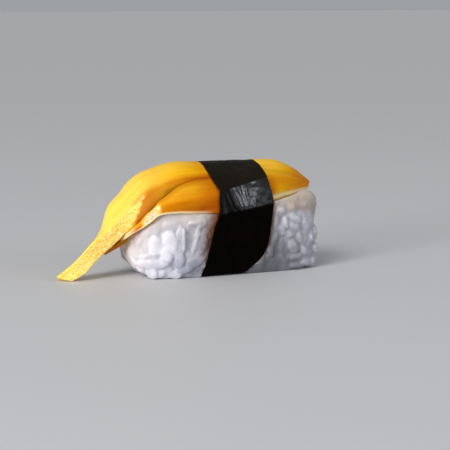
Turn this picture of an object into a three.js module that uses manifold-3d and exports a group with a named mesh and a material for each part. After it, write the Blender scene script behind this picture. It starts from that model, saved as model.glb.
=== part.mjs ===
// A mango nigiri: a hand-pressed block of rice, three overlapping mango slices laid over it like roof
// tiles, and a strip of seaweed wrapped round the middle with its ends lapped underneath.
// Millimetres. X runs along the block from the hanging mango tail (-X) to its blunt end (+X),
// -Y is the front, +Z is up, and the origin is the middle of the base, on the table.

import * as THREE from "three";
import { mergeVertices } from "three/addons/utils/BufferGeometryUtils.js";
import Module from "manifold-3d";

const wasm = await Module();
wasm.setup();

// ---- Driving dimensions --------------------------------------------------------------------------

const GAP = 0.3; // clear space kept between two pieces that touch
const WELD = 1e-4; // vertices closer than this are one

const TRIM = 0.02; // a solid's surface may be moved this far to drop slivers left by a cut

const RICE = {
  halfLength: 24.2, // of the bare core, which the grains stand proud of
  middleX: -0.7,
  halfWidth: 11.6,
  middleHeight: 10.6, // where the block is widest
  rise: 13.6, // from the middle height to the top
  drop: 13.0, // from the middle height down past the table, which then flattens it
  tailFullness: 3.2, // 2 is round, larger is squarer
  bluntFullness: 5.5,
  topFullness: 2.2,
  baseFullness: 4.8,
  shoulder: [10, 25, 0.24], // between these X the top falls by this share towards the blunt end
  ringSteps: 36,
  lengthSteps: 24,
};

const GRAIN = {
  length: 6.4,
  thickness: 2.9,
  spacing: 2.95, // least distance between the middles of two grains
  sunk: 0.35, // depth of a grain's middle under the core's surface
  lowest: 1.5, // no grain's middle is lower than this
  sides: 5,
  rings: 4,
  slide: 1.1, // how far a grain moves down at a time to get clear of the toppings
  slides: 3,
  tries: 1500,
  seed: 24,
};

const BAND = {
  thickness: 0.4,
  lapLift: 0.6, // the inner end lies this far above the outer end
  aroundSteps: 80, // once round
  lapSteps: 4, // each end runs this many steps past the middle of the base
  widthSteps: 2,
  sleeve: 5, // how far the space that the strip presses clear reaches outwards
};

// ---- Shapes read off the real thing --------------------------------------------------------------

// Each slice of mango is a set of stations along its length, from the tail to the blunt end.
// edge: the upper edge of its cut side. foot: the lower edge of that side, both [x, y, z].
// section: [width across, crown of the arch, roll in degrees].
// depth: [thickness in the middle, thickness at the far side].
const TOP_SLICE = {
  edge: [
    [-43.6, -1.2, 1.5], [-40.4, -2.6, 4.3], [-36.6, -3.9, 8.5], [-33.2, -4.7, 11.7],
    [-29.1, -5.4, 15.3], [-25.6, -5.8, 18.6], [-21.6, -6.1, 21.8], [-17.6, -6.4, 23.4],
    [-12.8, -6.8, 24.5], [-7.4, -7.1, 24.6], [0.5, -6.9, 25.0], [9.0, -6.5, 24.9],
    [16.0, -5.1, 24.1], [21.5, -3.1, 22.7], [25.6, -1.0, 21.2],
  ],
  foot: [
    [-40.6, -2.9, 0.0], [-37.8, -3.6, 1.8], [-33.8, -4.0, 5.5], [-30.4, -4.8, 8.6],
    [-26.7, -5.8, 11.8], [-24.3, -7.5, 14.4], [-21.4, -9.3, 18.2], [-17.6, -9.4, 21.3],
    [-13.0, -8.4, 23.3], [-7.4, -7.5, 24.2], [0.5, -7.0, 24.4], [9.0, -6.7, 24.2],
    [16.0, -5.4, 23.1], [21.3, -3.6, 21.7], [25.2, -1.4, 20.4],
  ],
  section: [
    [2.6, 0.1, -8], [4.6, 0.2, -10], [6.6, 0.2, -10], [8.8, 0.6, -7], [11.0, 3.1, -4],
    [11.8, 2.7, 0], [12.6, 3.3, 0], [12.8, 3.4, 0], [13.4, 3.4, 0], [14.0, 3.2, 0],
    [14.0, 2.8, 0], [13.0, 2.7, 0], [10.4, 3.3, 0], [7.6, 2.6, 0], [4.4, 1.0, 0],
  ],
  depth: [
    [2.8, 2.4], [3.2, 2.8], [3.4, 3.0], [3.6, 3.2], [4.0, 3.6], [4.2, 3.8], [4.1, 3.4],
    [4.0, 2.9], [3.8, 2.3], [3.6, 1.5], [3.4, 0.9], [3.2, 0.8], [2.6, 0.8], [1.8, 0.8],
    [0.9, 0.8],
  ],
  lengthSteps: 36,
  acrossSteps: 5,
};

const FRONT_SLICE = {
  edge: [
    [-28.4, -3.6, 10.0], [-26.9, -6.6, 12.2], [-24.9, -8.4, 13.9], [-22.8, -9.6, 16.4],
    [-20.6, -11.0, 18.7], [-16.2, -12.3, 19.8], [-10.9, -12.6, 20.2], [-4.6, -12.7, 21.0],
    [2.4, -11.3, 22.4], [9.3, -8.9, 23.8], [15.4, -6.9, 23.4], [20.4, -4.8, 22.4],
    [24.6, -2.2, 21.1],
  ],
  foot: [
    [-28.2, -3.4, 9.1], [-27.4, -6.4, 10.6], [-25.6, -8.0, 12.1], [-23.4, -9.8, 13.9],
    [-21.0, -11.4, 16.0], [-16.2, -12.0, 16.2], [-10.9, -12.0, 15.9], [-4.6, -12.2, 15.6],
    [2.4, -12.1, 16.6], [9.3, -11.9, 17.7], [15.2, -9.5, 18.6], [20.4, -6.2, 19.4],
    [24.4, -3.0, 19.9],
  ],
  section: [
    [3.0, 0.1, 20], [5.4, 0.3, 20], [7.4, 0.4, 18], [8.8, 0.5, 18], [9.8, 0.6, 12],
    [10.8, 0.8, 26], [10.8, 0.9, 32], [10.6, 0.8, 29], [9.4, 0.6, 24], [7.6, 0.5, 21],
    [5.8, 0.5, 22], [3.8, 0.3, 22], [2.2, 0.1, 10],
  ],
  depth: [
    [1.0, 0.9], [1.6, 1.4], [2.2, 1.9], [2.9, 2.4], [3.6, 2.8], [4.0, 3.0], [4.0, 3.0],
    [4.0, 3.0], [3.8, 2.8], [3.4, 2.4], [2.8, 2.0], [2.0, 1.5], [1.0, 0.8],
  ],
  lengthSteps: 28,
  acrossSteps: 3,
};

// The back slice is set out as if it lay in front, and is then mirrored to the back.
const BACK_SLICE = {
  edge: [
    [-30.9, -2.0, 6.4], [-28.9, -4.9, 9.6], [-26.6, -7.4, 12.6], [-24.0, -9.9, 15.4],
    [-20.4, -11.8, 18.2], [-14.8, -12.5, 19.9], [-8.0, -12.6, 20.6], [0.6, -12.3, 21.2],
    [9.0, -10.9, 22.0], [15.8, -8.0, 22.8], [20.8, -5.0, 22.1], [24.6, -2.4, 20.8],
  ],
  foot: [
    [-30.5, -1.8, 5.0], [-28.2, -4.8, 7.5], [-25.6, -7.6, 10.1], [-23.2, -10.0, 12.6],
    [-20.2, -11.8, 15.0], [-14.8, -12.2, 15.8], [-8.0, -12.3, 15.6], [0.6, -12.2, 15.8],
    [9.0, -12.0, 16.8], [15.6, -9.8, 18.2], [20.6, -6.4, 19.2], [24.4, -3.1, 19.8],
  ],
  section: [
    [3.6, 0.1, 28], [8.6, 0.3, 14], [11.8, 0.8, 6], [12.8, 1.5, 8], [12.0, 1.6, 18],
    [11.2, 1.1, 26], [10.8, 0.8, 28], [10.2, 0.7, 26], [9.0, 0.6, 20], [7.2, 0.5, 14],
    [5.2, 0.4, 9], [2.8, 0.1, 5],
  ],
  depth: [
    [1.4, 1.2], [2.2, 1.8], [2.7, 2.2], [3.2, 2.6], [3.6, 2.8], [3.8, 2.8], [3.9, 2.8],
    [3.8, 2.8], [3.4, 2.4], [2.8, 2.0], [1.9, 1.4], [1.0, 0.8],
  ],
  lengthSteps: 28,
  acrossSteps: 3,
};

// The outside of the seaweed strip, once round from the middle of the base: front, top, back.
// Each corner gives the strip's tail-side edge, its blunt-side edge, and how soft the corner is.
const BAND_CORNERS = [
  { tail: [-9.6, 0.0, 0.0], blunt: [3.0, 0.0, 0.0], soft: 1.0 },
  { tail: [-9.5, -11.4, 0.0], blunt: [1.4, -11.4, 0.0], soft: 0.42 },
  { tail: [-8.6, -12.0, 4.6], blunt: [7.4, -12.1, 4.8], soft: 0.9 },
  { tail: [-7.3, -12.5, 10.0], blunt: [8.9, -12.4, 11.2], soft: 1.0 },
  { tail: [-5.7, -13.1, 15.8], blunt: [9.4, -12.7, 18.0], soft: 0.3 },
  { tail: [-5.5, -13.1, 21.6], blunt: [9.3, -8.9, 24.3], soft: 0.14 },
  { tail: [-5.6, -7.0, 25.2], blunt: [9.3, -5.2, 26.5], soft: 1.0 },
  { tail: [-5.7, 0.2, 28.6], blunt: [9.3, 0.2, 28.1], soft: 1.0 },
  { tail: [-5.8, 7.2, 25.4], blunt: [9.2, 5.8, 26.2], soft: 1.0 },
  { tail: [-6.0, 12.9, 21.2], blunt: [9.0, 11.2, 22.4], soft: 0.4 },
  { tail: [-6.2, 13.0, 15.6], blunt: [8.9, 12.8, 16.6], soft: 0.45 },
  { tail: [-6.9, 12.5, 8.6], blunt: [8.0, 12.4, 8.8], soft: 1.0 },
  { tail: [-8.6, 11.6, 0.0], blunt: [5.6, 11.5, 0.0], soft: 0.5 },
];

// ---- Solids --------------------------------------------------------------------------------------

// A closed geometry, with its shared vertices merged, as a solid.
function solidOf(geometry) {
  const bare = geometry.clone();
  bare.deleteAttribute("normal");
  bare.deleteAttribute("uv");
  const merged = mergeVertices(bare, WELD);
  return new wasm.Manifold(
    new wasm.Mesh({
      numProp: 3,
      vertProperties: new Float32Array(merged.attributes.position.array),
      triVerts: new Uint32Array(merged.index.array),
    }),
  );
}

// A solid as a geometry. A cut can leave scraps, so only its largest body is kept.
function geometryOf(solid) {
  const largest = solid.decompose().reduce((a, b) => (a.volume() > b.volume() ? a : b));
  const mesh = largest.simplify(TRIM).getMesh();
  const geometry = new THREE.BufferGeometry();
  geometry.setAttribute("position", new THREE.BufferAttribute(new Float32Array(mesh.vertProperties), 3));
  geometry.setIndex(new THREE.BufferAttribute(new Uint32Array(mesh.triVerts), 1));
  geometry.computeVertexNormals();
  return geometry;
}

// Moves every vertex of a geometry to the place that the function gives for it.
function reshape(geometry, place) {
  const position = geometry.getAttribute("position");
  const vertex = new THREE.Vector3();
  for (let i = 0; i < position.count; i += 1) {
    vertex.fromBufferAttribute(position, i);
    const moved = place(vertex);
    position.setXYZ(i, moved.x, moved.y, moved.z);
  }
  return geometry;
}

function subtractAll(solid, cutters) {
  return cutters.reduce((left, cutter) => left.subtract(cutter), solid);
}

// ---- Mango ---------------------------------------------------------------------------------------

function smoothCurve(rows) {
  const points = rows.map((row) => new THREE.Vector3(row[0], row[1], row[2] ?? 0));
  return new THREE.CatmullRomCurve3(points, false, "catmullrom", 0.5);
}

// One slice: a box bent so that its length follows the stations, its width runs from the cut side
// to the far side, and its height from the underside to the top. swell grows it on every side.
function sliceGeometry(slice, swell = 0) {
  const edge = smoothCurve(slice.edge);
  const foot = smoothCurve(slice.foot);
  const section = smoothCurve(slice.section);
  const depth = smoothCurve(slice.depth);
  const up = new THREE.Vector3(0, 0, 1);
  const box = new THREE.BoxGeometry(1, 1, 1, slice.lengthSteps, slice.acrossSteps, 1);
  return reshape(box, (corner) => {
    const along = corner.x + 0.5;
    const start = edge.getPoint(along);
    const [width, crown, roll] = section.getPoint(along).toArray();
    const [middle, far] = depth.getPoint(along).toArray();
    const forward = edge.getTangent(along);
    const level = new THREE.Vector3().crossVectors(up, forward).normalize();
    const upright = new THREE.Vector3().crossVectors(forward, level);
    const turn = THREE.MathUtils.degToRad(roll);
    const across = level.clone().multiplyScalar(Math.cos(turn)).addScaledVector(upright, Math.sin(turn));
    const out = new THREE.Vector3().crossVectors(forward, across);

    const share = corner.y + 0.5;
    const arch = 4 * share * (1 - share);
    const reach = share + ((2 * share - 1) * swell) / width;
    const point = new THREE.Vector3();
    if (corner.z > 0) {
      point.copy(start).addScaledVector(across, reach * width);
      point.addScaledVector(out, crown * arch + swell);
    } else {
      const near = foot.getPoint(along);
      const rear = start.clone().addScaledVector(across, width).addScaledVector(out, -far);
      const sag = middle - (start.distanceTo(near) + far) / 2;
      point.copy(near).addScaledVector(rear.sub(near), reach);
      point.addScaledVector(out, (crown - sag) * arch - swell);
    }
    point.addScaledVector(forward, along === 0 ? -swell : along === 1 ? swell : 0);
    point.z = Math.max(point.z, swell > 0 ? -swell : 0); // the table flattens the tip
    return point;
  });
}

function mirrored(geometry) {
  const index = geometry.index;
  for (let i = 0; i < index.count; i += 3) {
    const first = index.getX(i);
    index.setX(i, index.getX(i + 1));
    index.setX(i + 1, first);
  }
  return geometry.scale(1, -1, 1);
}

// ---- Seaweed strip -------------------------------------------------------------------------------

// A point on the strip's outside: around is the share of the way round, and side runs from the
// tail-side edge (0) to the blunt-side edge (1). Corners are rounded by their softness.
function bandPoint(around, side) {
  const count = BAND_CORNERS.length;
  const turn = (((around * count + 0.5) % count) + count) % count;
  const here = Math.floor(turn);
  const share = turn - here;
  const at = (i) => {
    const corner = BAND_CORNERS[(i + count) % count];
    return new THREE.Vector3(...corner.tail).lerp(new THREE.Vector3(...corner.blunt), side);
  };
  const corner = at(here);
  const soft = BAND_CORNERS[here].soft;
  const before = corner.clone().lerp(at(here - 1), 0.5);
  const after = corner.clone().lerp(at(here + 1), 0.5);
  const enter = corner.clone().lerp(before, soft);
  const leave = corner.clone().lerp(after, soft);
  const straight = 0.35 * (1 - soft); // the share of this stretch on either side of the bend
  if (share < straight) return before.lerp(enter, share / straight);
  if (share > 1 - straight) return leave.lerp(after, (share - 1 + straight) / straight);
  const bend = new THREE.QuadraticBezierCurve3(enter, corner, leave);
  return bend.getPoint((share - straight) / (1 - 2 * straight));
}

// The direction from the strip's outside towards the rice.
function bandInwards(around, side) {
  const step = 1e-3;
  const along = bandPoint(around + step, side).sub(bandPoint(around - step, side));
  return new THREE.Vector3(0, along.z, -along.y).normalize();
}

// How far the strip is lifted off its own outer end where it starts, under the rice.
function lapLift(around) {
  const lapEnd = BAND.lapSteps / BAND.aroundSteps;
  return BAND.lapLift * (1 - THREE.MathUtils.smoothstep(around, lapEnd, lapEnd * 1.5));
}

function bandGeometry() {
  const steps = BAND.aroundSteps + 2 * BAND.lapSteps;
  const box = new THREE.BoxGeometry(1, 1, 1, steps, BAND.widthSteps, 1);
  return reshape(box, (corner) => {
    const around = ((corner.x + 0.5) * steps - BAND.lapSteps) / BAND.aroundSteps;
    const side = corner.y + 0.5;
    const deep = lapLift(around) + (corner.z + 0.5) * BAND.thickness;
    return bandPoint(around, side).addScaledVector(bandInwards(around, side), deep);
  });
}

// The closed ring of space that the strip takes up and presses clear outside itself.
function sleeveGeometry() {
  const ring = [[1, 0], [1, 0.5], [1, 1], [2, 1], [2, 0.5], [2, 0], [1, 0]].map(([x, y]) => new THREE.Vector2(x, y));
  const lathe = new THREE.LatheGeometry(ring, BAND.aroundSteps);
  return reshape(lathe, (corner) => {
    const turn = Math.atan2(corner.x, corner.z) / (2 * Math.PI);
    const around = turn < 0 ? turn + 1 : turn;
    const inner = Math.hypot(corner.x, corner.z) < 1.5;
    const margin = (corner.y * 2 - 1) * GAP;
    const lap = Math.min(around, 1 - around) * BAND.aroundSteps < BAND.lapSteps * 1.6 ? BAND.lapLift : 0;
    const deep = inner ? BAND.thickness + GAP + lap : -BAND.sleeve;
    const point = bandPoint(around, corner.y).addScaledVector(bandInwards(around, corner.y), deep);
    point.x += margin;
    return point;
  });
}

// ---- Rice ----------------------------------------------------------------------------------------

// The point of the bare core's surface that lies in a direction from its middle.
function ricePoint(direction) {
  const { x, y, z } = direction;
  const ends = x < 0 ? RICE.tailFullness : RICE.bluntFullness;
  const sides = z < 0 ? RICE.baseFullness : RICE.topFullness;
  const girth = Math.abs(y) ** sides + Math.abs(z) ** sides;
  const scale = (Math.abs(x) ** ends + girth ** (ends / sides)) ** (-1 / ends);
  const [from, to, fall] = RICE.shoulder;
  const length = x * scale * RICE.halfLength + RICE.middleX;
  const rise = RICE.rise * (1 - fall * THREE.MathUtils.smoothstep(length, from, to));
  const height = z < 0 ? RICE.drop : rise;
  return new THREE.Vector3(length, y * scale * RICE.halfWidth, z * scale * height + RICE.middleHeight);
}

function riceNormal(direction) {
  const step = 0.01;
  const side = new THREE.Vector3(0, 0, 1).cross(direction).normalize();
  const other = direction.clone().cross(side);
  const slope = (way) => {
    const ahead = ricePoint(direction.clone().addScaledVector(way, step).normalize());
    return ahead.sub(ricePoint(direction.clone().addScaledVector(way, -step).normalize()));
  };
  const normal = slope(side).cross(slope(other)).normalize();
  return normal.dot(direction) < 0 ? normal.negate() : normal;
}

function coreGeometry() {
  const ball = new THREE.SphereGeometry(1, RICE.ringSteps, RICE.lengthSteps);
  ball.rotateZ(Math.PI / 2); // its poles are the two ends of the block
  return reshape(ball, (corner) => ricePoint(corner.normalize()));
}

// Repeatable random numbers from 0 to 1.
function randomSource(seed) {
  let state = seed;
  return () => {
    state = (state * 1664525 + 1013904223) % 4294967296;
    return state / 4294967296;
  };
}

// Directions spread evenly over a ball, along a spiral.
function spiralDirection(i, count) {
  const z = 1 - (2 * i + 1) / count;
  const ring = Math.sqrt(1 - z * z);
  const turn = i * Math.PI * (3 - Math.sqrt(5));
  return new THREE.Vector3(ring * Math.cos(turn), ring * Math.sin(turn), z);
}

function grainSolid(middle, normal, random) {
  const size = 0.86 + 0.28 * random();
  const ball = new THREE.SphereGeometry(0.5, GRAIN.sides, GRAIN.rings);
  ball.scale(GRAIN.thickness * size, GRAIN.length * size, GRAIN.thickness * size * 0.92);
  const tangent = new THREE.Vector3(random() - 0.5, random() - 0.5, random() - 0.5).cross(normal).normalize();
  const along = tangent.addScaledVector(normal, 0.5 * (random() - 0.5)).normalize();
  ball.applyQuaternion(new THREE.Quaternion().setFromUnitVectors(new THREE.Vector3(0, 1, 0), along));
  ball.translate(middle.x, middle.y, middle.z);
  return solidOf(ball);
}

// The grains that show, none of them crossing the toppings: a grain that would is moved down, and
// is left out if it still crosses them.
function grainSolids(toppings) {
  const random = randomSource(GRAIN.seed);
  const order = Array.from({ length: GRAIN.tries }, (_, i) => ({ i, key: random() }));
  order.sort((a, b) => a.key - b.key);
  const middles = [];
  const grains = [];
  for (const { i } of order) {
    const direction = spiralDirection(i, GRAIN.tries);
    const normal = riceNormal(direction);
    const middle = ricePoint(direction).addScaledVector(normal, -GRAIN.sunk);
    const clear = (point) => middles.every((other) => other.distanceTo(point) > GRAIN.spacing);
    for (let slide = 0; slide <= GRAIN.slides; slide += 1) {
      if (middle.z < GRAIN.lowest || !clear(middle)) break;
      const grain = grainSolid(middle, normal, random);
      if (grain.intersect(toppings).isEmpty()) {
        middles.push(middle.clone());
        grains.push(grain);
        break;
      }
      middle.z -= GRAIN.slide;
    }
  }
  return grains;
}

// ---- The whole -----------------------------------------------------------------------------------

const MATERIALS = {
  rice: new THREE.MeshStandardMaterial({ color: 0xe4e3e6, roughness: 0.35, metalness: 0 }),
  mango: new THREE.MeshStandardMaterial({ color: 0xf6bd1c, roughness: 0.4, metalness: 0 }),
  seaweed: new THREE.MeshStandardMaterial({ color: 0x14160f, roughness: 0.45, metalness: 0 }),
};

function part(name, geometry, material) {
  const mesh = new THREE.Mesh(geometry, material);
  mesh.name = name;
  return mesh;
}

const sleeve = solidOf(sleeveGeometry());
const topSwollen = solidOf(sliceGeometry(TOP_SLICE, GAP));
const backSwollen = solidOf(mirrored(sliceGeometry(BACK_SLICE, GAP)));
const frontSwollen = solidOf(sliceGeometry(FRONT_SLICE, GAP));

const topSlice = subtractAll(solidOf(sliceGeometry(TOP_SLICE)), [sleeve]);
const backSlice = subtractAll(solidOf(mirrored(sliceGeometry(BACK_SLICE))), [topSwollen, sleeve]);
const frontSlice = subtractAll(solidOf(sliceGeometry(FRONT_SLICE)), [topSwollen, backSwollen, sleeve]);

const toppings = wasm.Manifold.union([
  sleeve, topSwollen, backSwollen, frontSwollen, topSlice, backSlice, frontSlice,
]);
const belowTable = new THREE.BoxGeometry(100, 60, 10).translate(0, 0, -5);
const core = subtractAll(solidOf(coreGeometry()), [toppings]);
const rice = wasm.Manifold.union([core, ...grainSolids(toppings)]).subtract(solidOf(belowTable));

const nigiri = new THREE.Group();
nigiri.name = "mango_nigiri";
nigiri.add(
  part("rice_block", geometryOf(rice), MATERIALS.rice),
  part("mango_slice_top", geometryOf(topSlice), MATERIALS.mango),
  part("mango_slice_front", geometryOf(frontSlice), MATERIALS.mango),
  part("mango_slice_back", geometryOf(backSlice), MATERIALS.mango),
  part("seaweed_band", bandGeometry(), MATERIALS.seaweed),
);

export default nigiri;
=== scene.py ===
"""A mango nigiri: pressed rice, three overlapping slices of mango and a wrapped strip of seaweed.

Run as a script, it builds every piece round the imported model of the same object. Lengths in the
tables below are millimetres, in the model's own frame: X along the rice block with the hanging tail
of the top slice towards -X, -Y the front, +Z up, and the table at Z = 0.
"""

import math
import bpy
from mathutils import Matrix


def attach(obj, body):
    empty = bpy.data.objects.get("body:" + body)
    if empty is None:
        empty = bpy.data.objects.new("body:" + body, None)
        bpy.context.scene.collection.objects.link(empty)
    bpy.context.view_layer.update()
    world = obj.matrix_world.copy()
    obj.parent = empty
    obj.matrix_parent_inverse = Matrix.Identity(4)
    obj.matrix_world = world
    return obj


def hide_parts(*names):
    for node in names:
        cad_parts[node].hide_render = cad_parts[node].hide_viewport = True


bl_info = {
    "name": "Mango Nigiri",
    "version": (1, 0, 0),
    "blender": (4, 5, 0),
    "location": "3D View > Sidebar > Nigiri",
    "description": "Builds a mango nigiri: rice, mango slices, seaweed strip and a plain stage",
    "category": "Add Mesh",
}

import bmesh
import bpy
import numpy as np
from bpy.props import FloatProperty, FloatVectorProperty, IntProperty, PointerProperty
from mathutils import Matrix, Vector, noise
from mathutils.bvhtree import BVHTree

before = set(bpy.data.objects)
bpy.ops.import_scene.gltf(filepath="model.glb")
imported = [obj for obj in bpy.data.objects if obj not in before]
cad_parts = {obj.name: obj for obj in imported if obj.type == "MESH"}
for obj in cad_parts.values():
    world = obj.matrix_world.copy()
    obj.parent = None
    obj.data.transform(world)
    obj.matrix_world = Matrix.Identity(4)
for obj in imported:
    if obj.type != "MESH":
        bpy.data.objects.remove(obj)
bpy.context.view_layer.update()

MM = 0.001
UP = np.array([0.0, 0.0, 1.0])

# ---- Shapes, in millimetres ------------------------------------------------------------------------

# Stations along each slice of mango, from its tail to its blunt end.
# edge and foot: the upper and lower edge of the cut side that faces out.
# section: width across, crown of the arch, roll in degrees.
# depth: thickness in the middle and at the far side.
TOP_SLICE = {
    "edge": [
        [-44.4, -1.6, 1.0], [-40.6, -2.6, 4.1], [-36.6, -3.9, 8.5], [-33.2, -4.7, 11.7],
        [-29.1, -5.4, 15.3], [-25.6, -5.8, 18.6], [-21.6, -6.1, 21.8], [-17.6, -6.4, 23.4],
        [-12.8, -6.8, 24.5], [-7.4, -7.1, 24.6], [0.5, -6.9, 25.0], [9.0, -6.5, 24.9],
        [16.0, -5.1, 24.1], [21.5, -3.1, 22.7], [25.6, -1.0, 21.2],
    ],
    "foot": [
        [-40.6, -2.9, 0.0], [-37.8, -3.6, 1.8], [-33.8, -4.0, 5.5], [-30.4, -4.8, 8.6],
        [-26.7, -5.8, 11.8], [-24.3, -7.5, 14.4], [-21.4, -9.3, 18.2], [-17.6, -9.4, 21.3],
        [-13.0, -8.4, 23.3], [-7.4, -7.5, 24.2], [0.5, -7.0, 24.4], [9.0, -6.7, 24.2],
        [16.0, -5.4, 23.1], [21.3, -3.6, 21.7], [25.2, -1.4, 20.4],
    ],
    "section": [
        [2.6, 0.1, -8], [4.6, 0.2, -10], [6.6, 0.2, -10], [8.8, 0.6, -7], [11.0, 3.1, -4],
        [11.8, 2.7, 0], [12.6, 3.3, 0], [12.8, 3.4, 0], [13.4, 3.4, 0], [14.0, 3.2, 0],
        [14.0, 2.8, 0], [13.0, 2.7, 0], [10.4, 3.3, 0], [7.6, 2.6, 0], [4.4, 1.0, 0],
    ],
    "depth": [
        [2.8, 2.4], [3.2, 2.8], [3.4, 3.0], [3.6, 3.2], [4.0, 3.6], [4.2, 3.8], [4.1, 3.4],
        [4.0, 2.9], [3.8, 2.3], [3.6, 1.5], [3.4, 0.9], [3.2, 0.8], [2.6, 0.8], [1.8, 0.8],
        [0.9, 0.8],
    ],
}

FRONT_SLICE = {
    "edge": [
        [-28.4, -3.6, 10.0], [-26.9, -6.6, 12.2], [-24.9, -8.4, 13.9], [-22.8, -9.6, 16.4],
        [-20.6, -11.0, 18.7], [-16.2, -12.3, 19.8], [-10.9, -12.6, 20.2], [-4.6, -12.7, 21.0],
        [2.4, -11.3, 22.4], [9.3, -8.9, 23.8], [15.4, -6.9, 23.4], [20.4, -4.8, 22.4],
        [24.6, -2.2, 21.1],
    ],
    "foot": [
        [-28.2, -3.4, 9.1], [-27.4, -6.4, 10.6], [-25.6, -8.0, 12.1], [-23.4, -9.8, 13.9],
        [-21.0, -11.4, 16.0], [-16.2, -12.0, 16.2], [-10.9, -12.0, 15.9], [-4.6, -12.2, 15.6],
        [2.4, -12.1, 16.6], [9.3, -11.9, 17.7], [15.2, -9.5, 18.6], [20.4, -6.2, 19.4],
        [24.4, -3.0, 19.9],
    ],
    "section": [
        [3.0, 0.1, 20], [5.4, 0.3, 20], [7.4, 0.4, 18], [8.8, 0.5, 18], [9.8, 0.6, 15],
        [10.8, 0.8, 25], [10.8, 0.9, 28], [10.6, 0.8, 24.5], [9.4, 0.6, 23], [7.6, 0.5, 21],
        [5.8, 0.5, 22], [3.8, 0.3, 22], [2.2, 0.1, 10],
    ],
    "depth": [
        [1.0, 0.9], [1.6, 1.4], [2.2, 1.9], [2.9, 2.4], [3.6, 2.8], [4.0, 3.0], [4.0, 3.0],
        [4.0, 3.0], [3.8, 2.8], [3.4, 2.4], [2.8, 2.0], [2.0, 1.5], [1.0, 0.8],
    ],
}

# The back slice is set out as if it lay in front, and is then mirrored to the back.
BACK_SLICE = {
    "edge": [
        [-30.9, -2.0, 6.4], [-28.9, -4.9, 9.6], [-26.6, -7.4, 12.6], [-24.0, -9.9, 15.4],
        [-20.4, -11.8, 18.2], [-14.8, -12.5, 19.9], [-8.0, -12.6, 20.6], [0.6, -12.3, 21.2],
        [9.0, -10.9, 22.0], [15.8, -8.0, 22.8], [20.8, -5.0, 22.1], [24.6, -2.4, 20.8],
    ],
    "foot": [
        [-30.5, -1.8, 5.0], [-28.2, -4.8, 7.5], [-25.6, -7.6, 10.1], [-23.2, -10.0, 12.6],
        [-20.2, -11.8, 15.0], [-14.8, -12.2, 15.8], [-8.0, -12.3, 15.6], [0.6, -12.2, 15.8],
        [9.0, -12.0, 16.8], [15.6, -9.8, 18.2], [20.6, -6.4, 19.2], [24.4, -3.1, 19.8],
    ],
    "section": [
        [3.6, 0.1, 28], [8.6, 0.3, 14], [11.8, 0.8, 6], [12.8, 1.5, 8], [12.0, 1.6, 18],
        [11.2, 1.1, 26], [10.8, 0.8, 28], [10.2, 0.7, 26], [9.0, 0.6, 20], [7.2, 0.5, 14],
        [5.2, 0.4, 9], [2.8, 0.1, 5],
    ],
    "depth": [
        [1.4, 1.2], [2.2, 1.8], [2.7, 2.2], [3.2, 2.6], [3.6, 2.8], [3.8, 2.8], [3.9, 2.8],
        [3.8, 2.8], [3.4, 2.4], [2.8, 2.0], [1.9, 1.4], [1.0, 0.8],
    ],
}

# The outside of the seaweed strip, once round from the middle of the base: front, top, back.
# Each corner gives its tail-side edge, its blunt-side edge, and how soft the corner is.
BAND_CORNERS = [
    ([-9.6, 0.0, 0.0], [3.0, 0.0, 0.0], 1.0),
    ([-9.5, -11.4, 0.0], [1.4, -11.4, 0.0], 0.42),
    ([-8.6, -12.0, 4.6], [7.4, -12.1, 4.8], 0.9),
    ([-7.3, -12.5, 10.0], [8.9, -12.4, 11.2], 1.0),
    ([-5.7, -13.1, 15.8], [9.4, -12.7, 18.0], 0.3),
    ([-5.5, -13.1, 21.6], [9.3, -8.9, 24.3], 0.14),
    ([-5.6, -7.0, 25.2], [9.3, -5.2, 26.5], 1.0),
    ([-5.7, 0.2, 28.6], [9.3, 0.2, 28.1], 1.0),
    ([-5.8, 7.2, 25.4], [9.2, 5.8, 26.2], 1.0),
    ([-6.0, 12.9, 21.2], [9.0, 11.2, 22.4], 0.4),
    ([-6.2, 13.0, 15.6], [8.9, 12.8, 16.6], 0.45),
    ([-6.9, 12.5, 8.6], [8.0, 12.4, 8.8], 1.0),
    ([-8.6, 11.6, 0.0], [5.6, 11.5, 0.0], 0.5),
]
SHINING = 4  # the front's shining facet runs from this corner to the next, counted from 0
BAND_LIFT = 0.6  # the inner end lies this far above the outer end, under the rice
BAND_LAP = 0.05  # each end runs this share of the way round past the middle of the base
TABLE_GAP = 0.02  # everything stays this far above the table
AXIS_Z = 11.0  # height of the line that everything under the strip is pressed in towards
STRIP_INSET = 0.12  # how far the strip's outer side lies inside the shape in BAND_CORNERS
STRIP_DEEP = 0.5  # how deep the strip's inner side lies
SLICE_CLEAR = 0.3  # what the mango stays clear of the strip by
RICE_CLEAR = 0.12  # what the rice stays clear of the strip by
PRESS_EDGE = (-0.35, 0.15)  # how far in from the strip's edge the pressing starts and is full

# The folds down the strip's shining facet, in shares of its width: where each starts at the facet's
# foot and where it ends at its top, and its width. Then how far it stands out in millimetres, or in
# if less than 0, and where up the facet it starts and ends, with 0 at the foot and 1 at the top.
FOLDS = (
    (0.42, 0.15, 0.028, 0.42, -1, 2),
    (0.34, 0.11, 0.035, -0.42, -1, 2),
    (0.29, 0.06, 0.018, 0.30, -1, 2),
    (0.23, 0.02, 0.025, -0.18, -1, 2),
    (0.56, 0.50, 0.016, 0.16, 0.35, 0.85),
    (0.48, 0.36, 0.030, 0.12, 0.30, 0.90),
)
FOLD_FADE = 0.15  # a fold comes and goes over this share of the facet's height

RICE_CORE = {
    "half": (24.6, 12.0),
    "middle": (-1.1, 0.0, 10.6),
    "rise": 13.6,
    "drop": 13.0,
    "ends": (3.2, 5.5),  # fullness of the tail end and the blunt end
    "sides": (4.8, 2.6),  # fullness of the lower half and the upper half
    "shoulder": (8, 18, 0.21),  # between these X the top falls by this share
}

CORE_INSET = 0.25  # how deep the bare core lies below the surface that the grains are set out on

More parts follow.
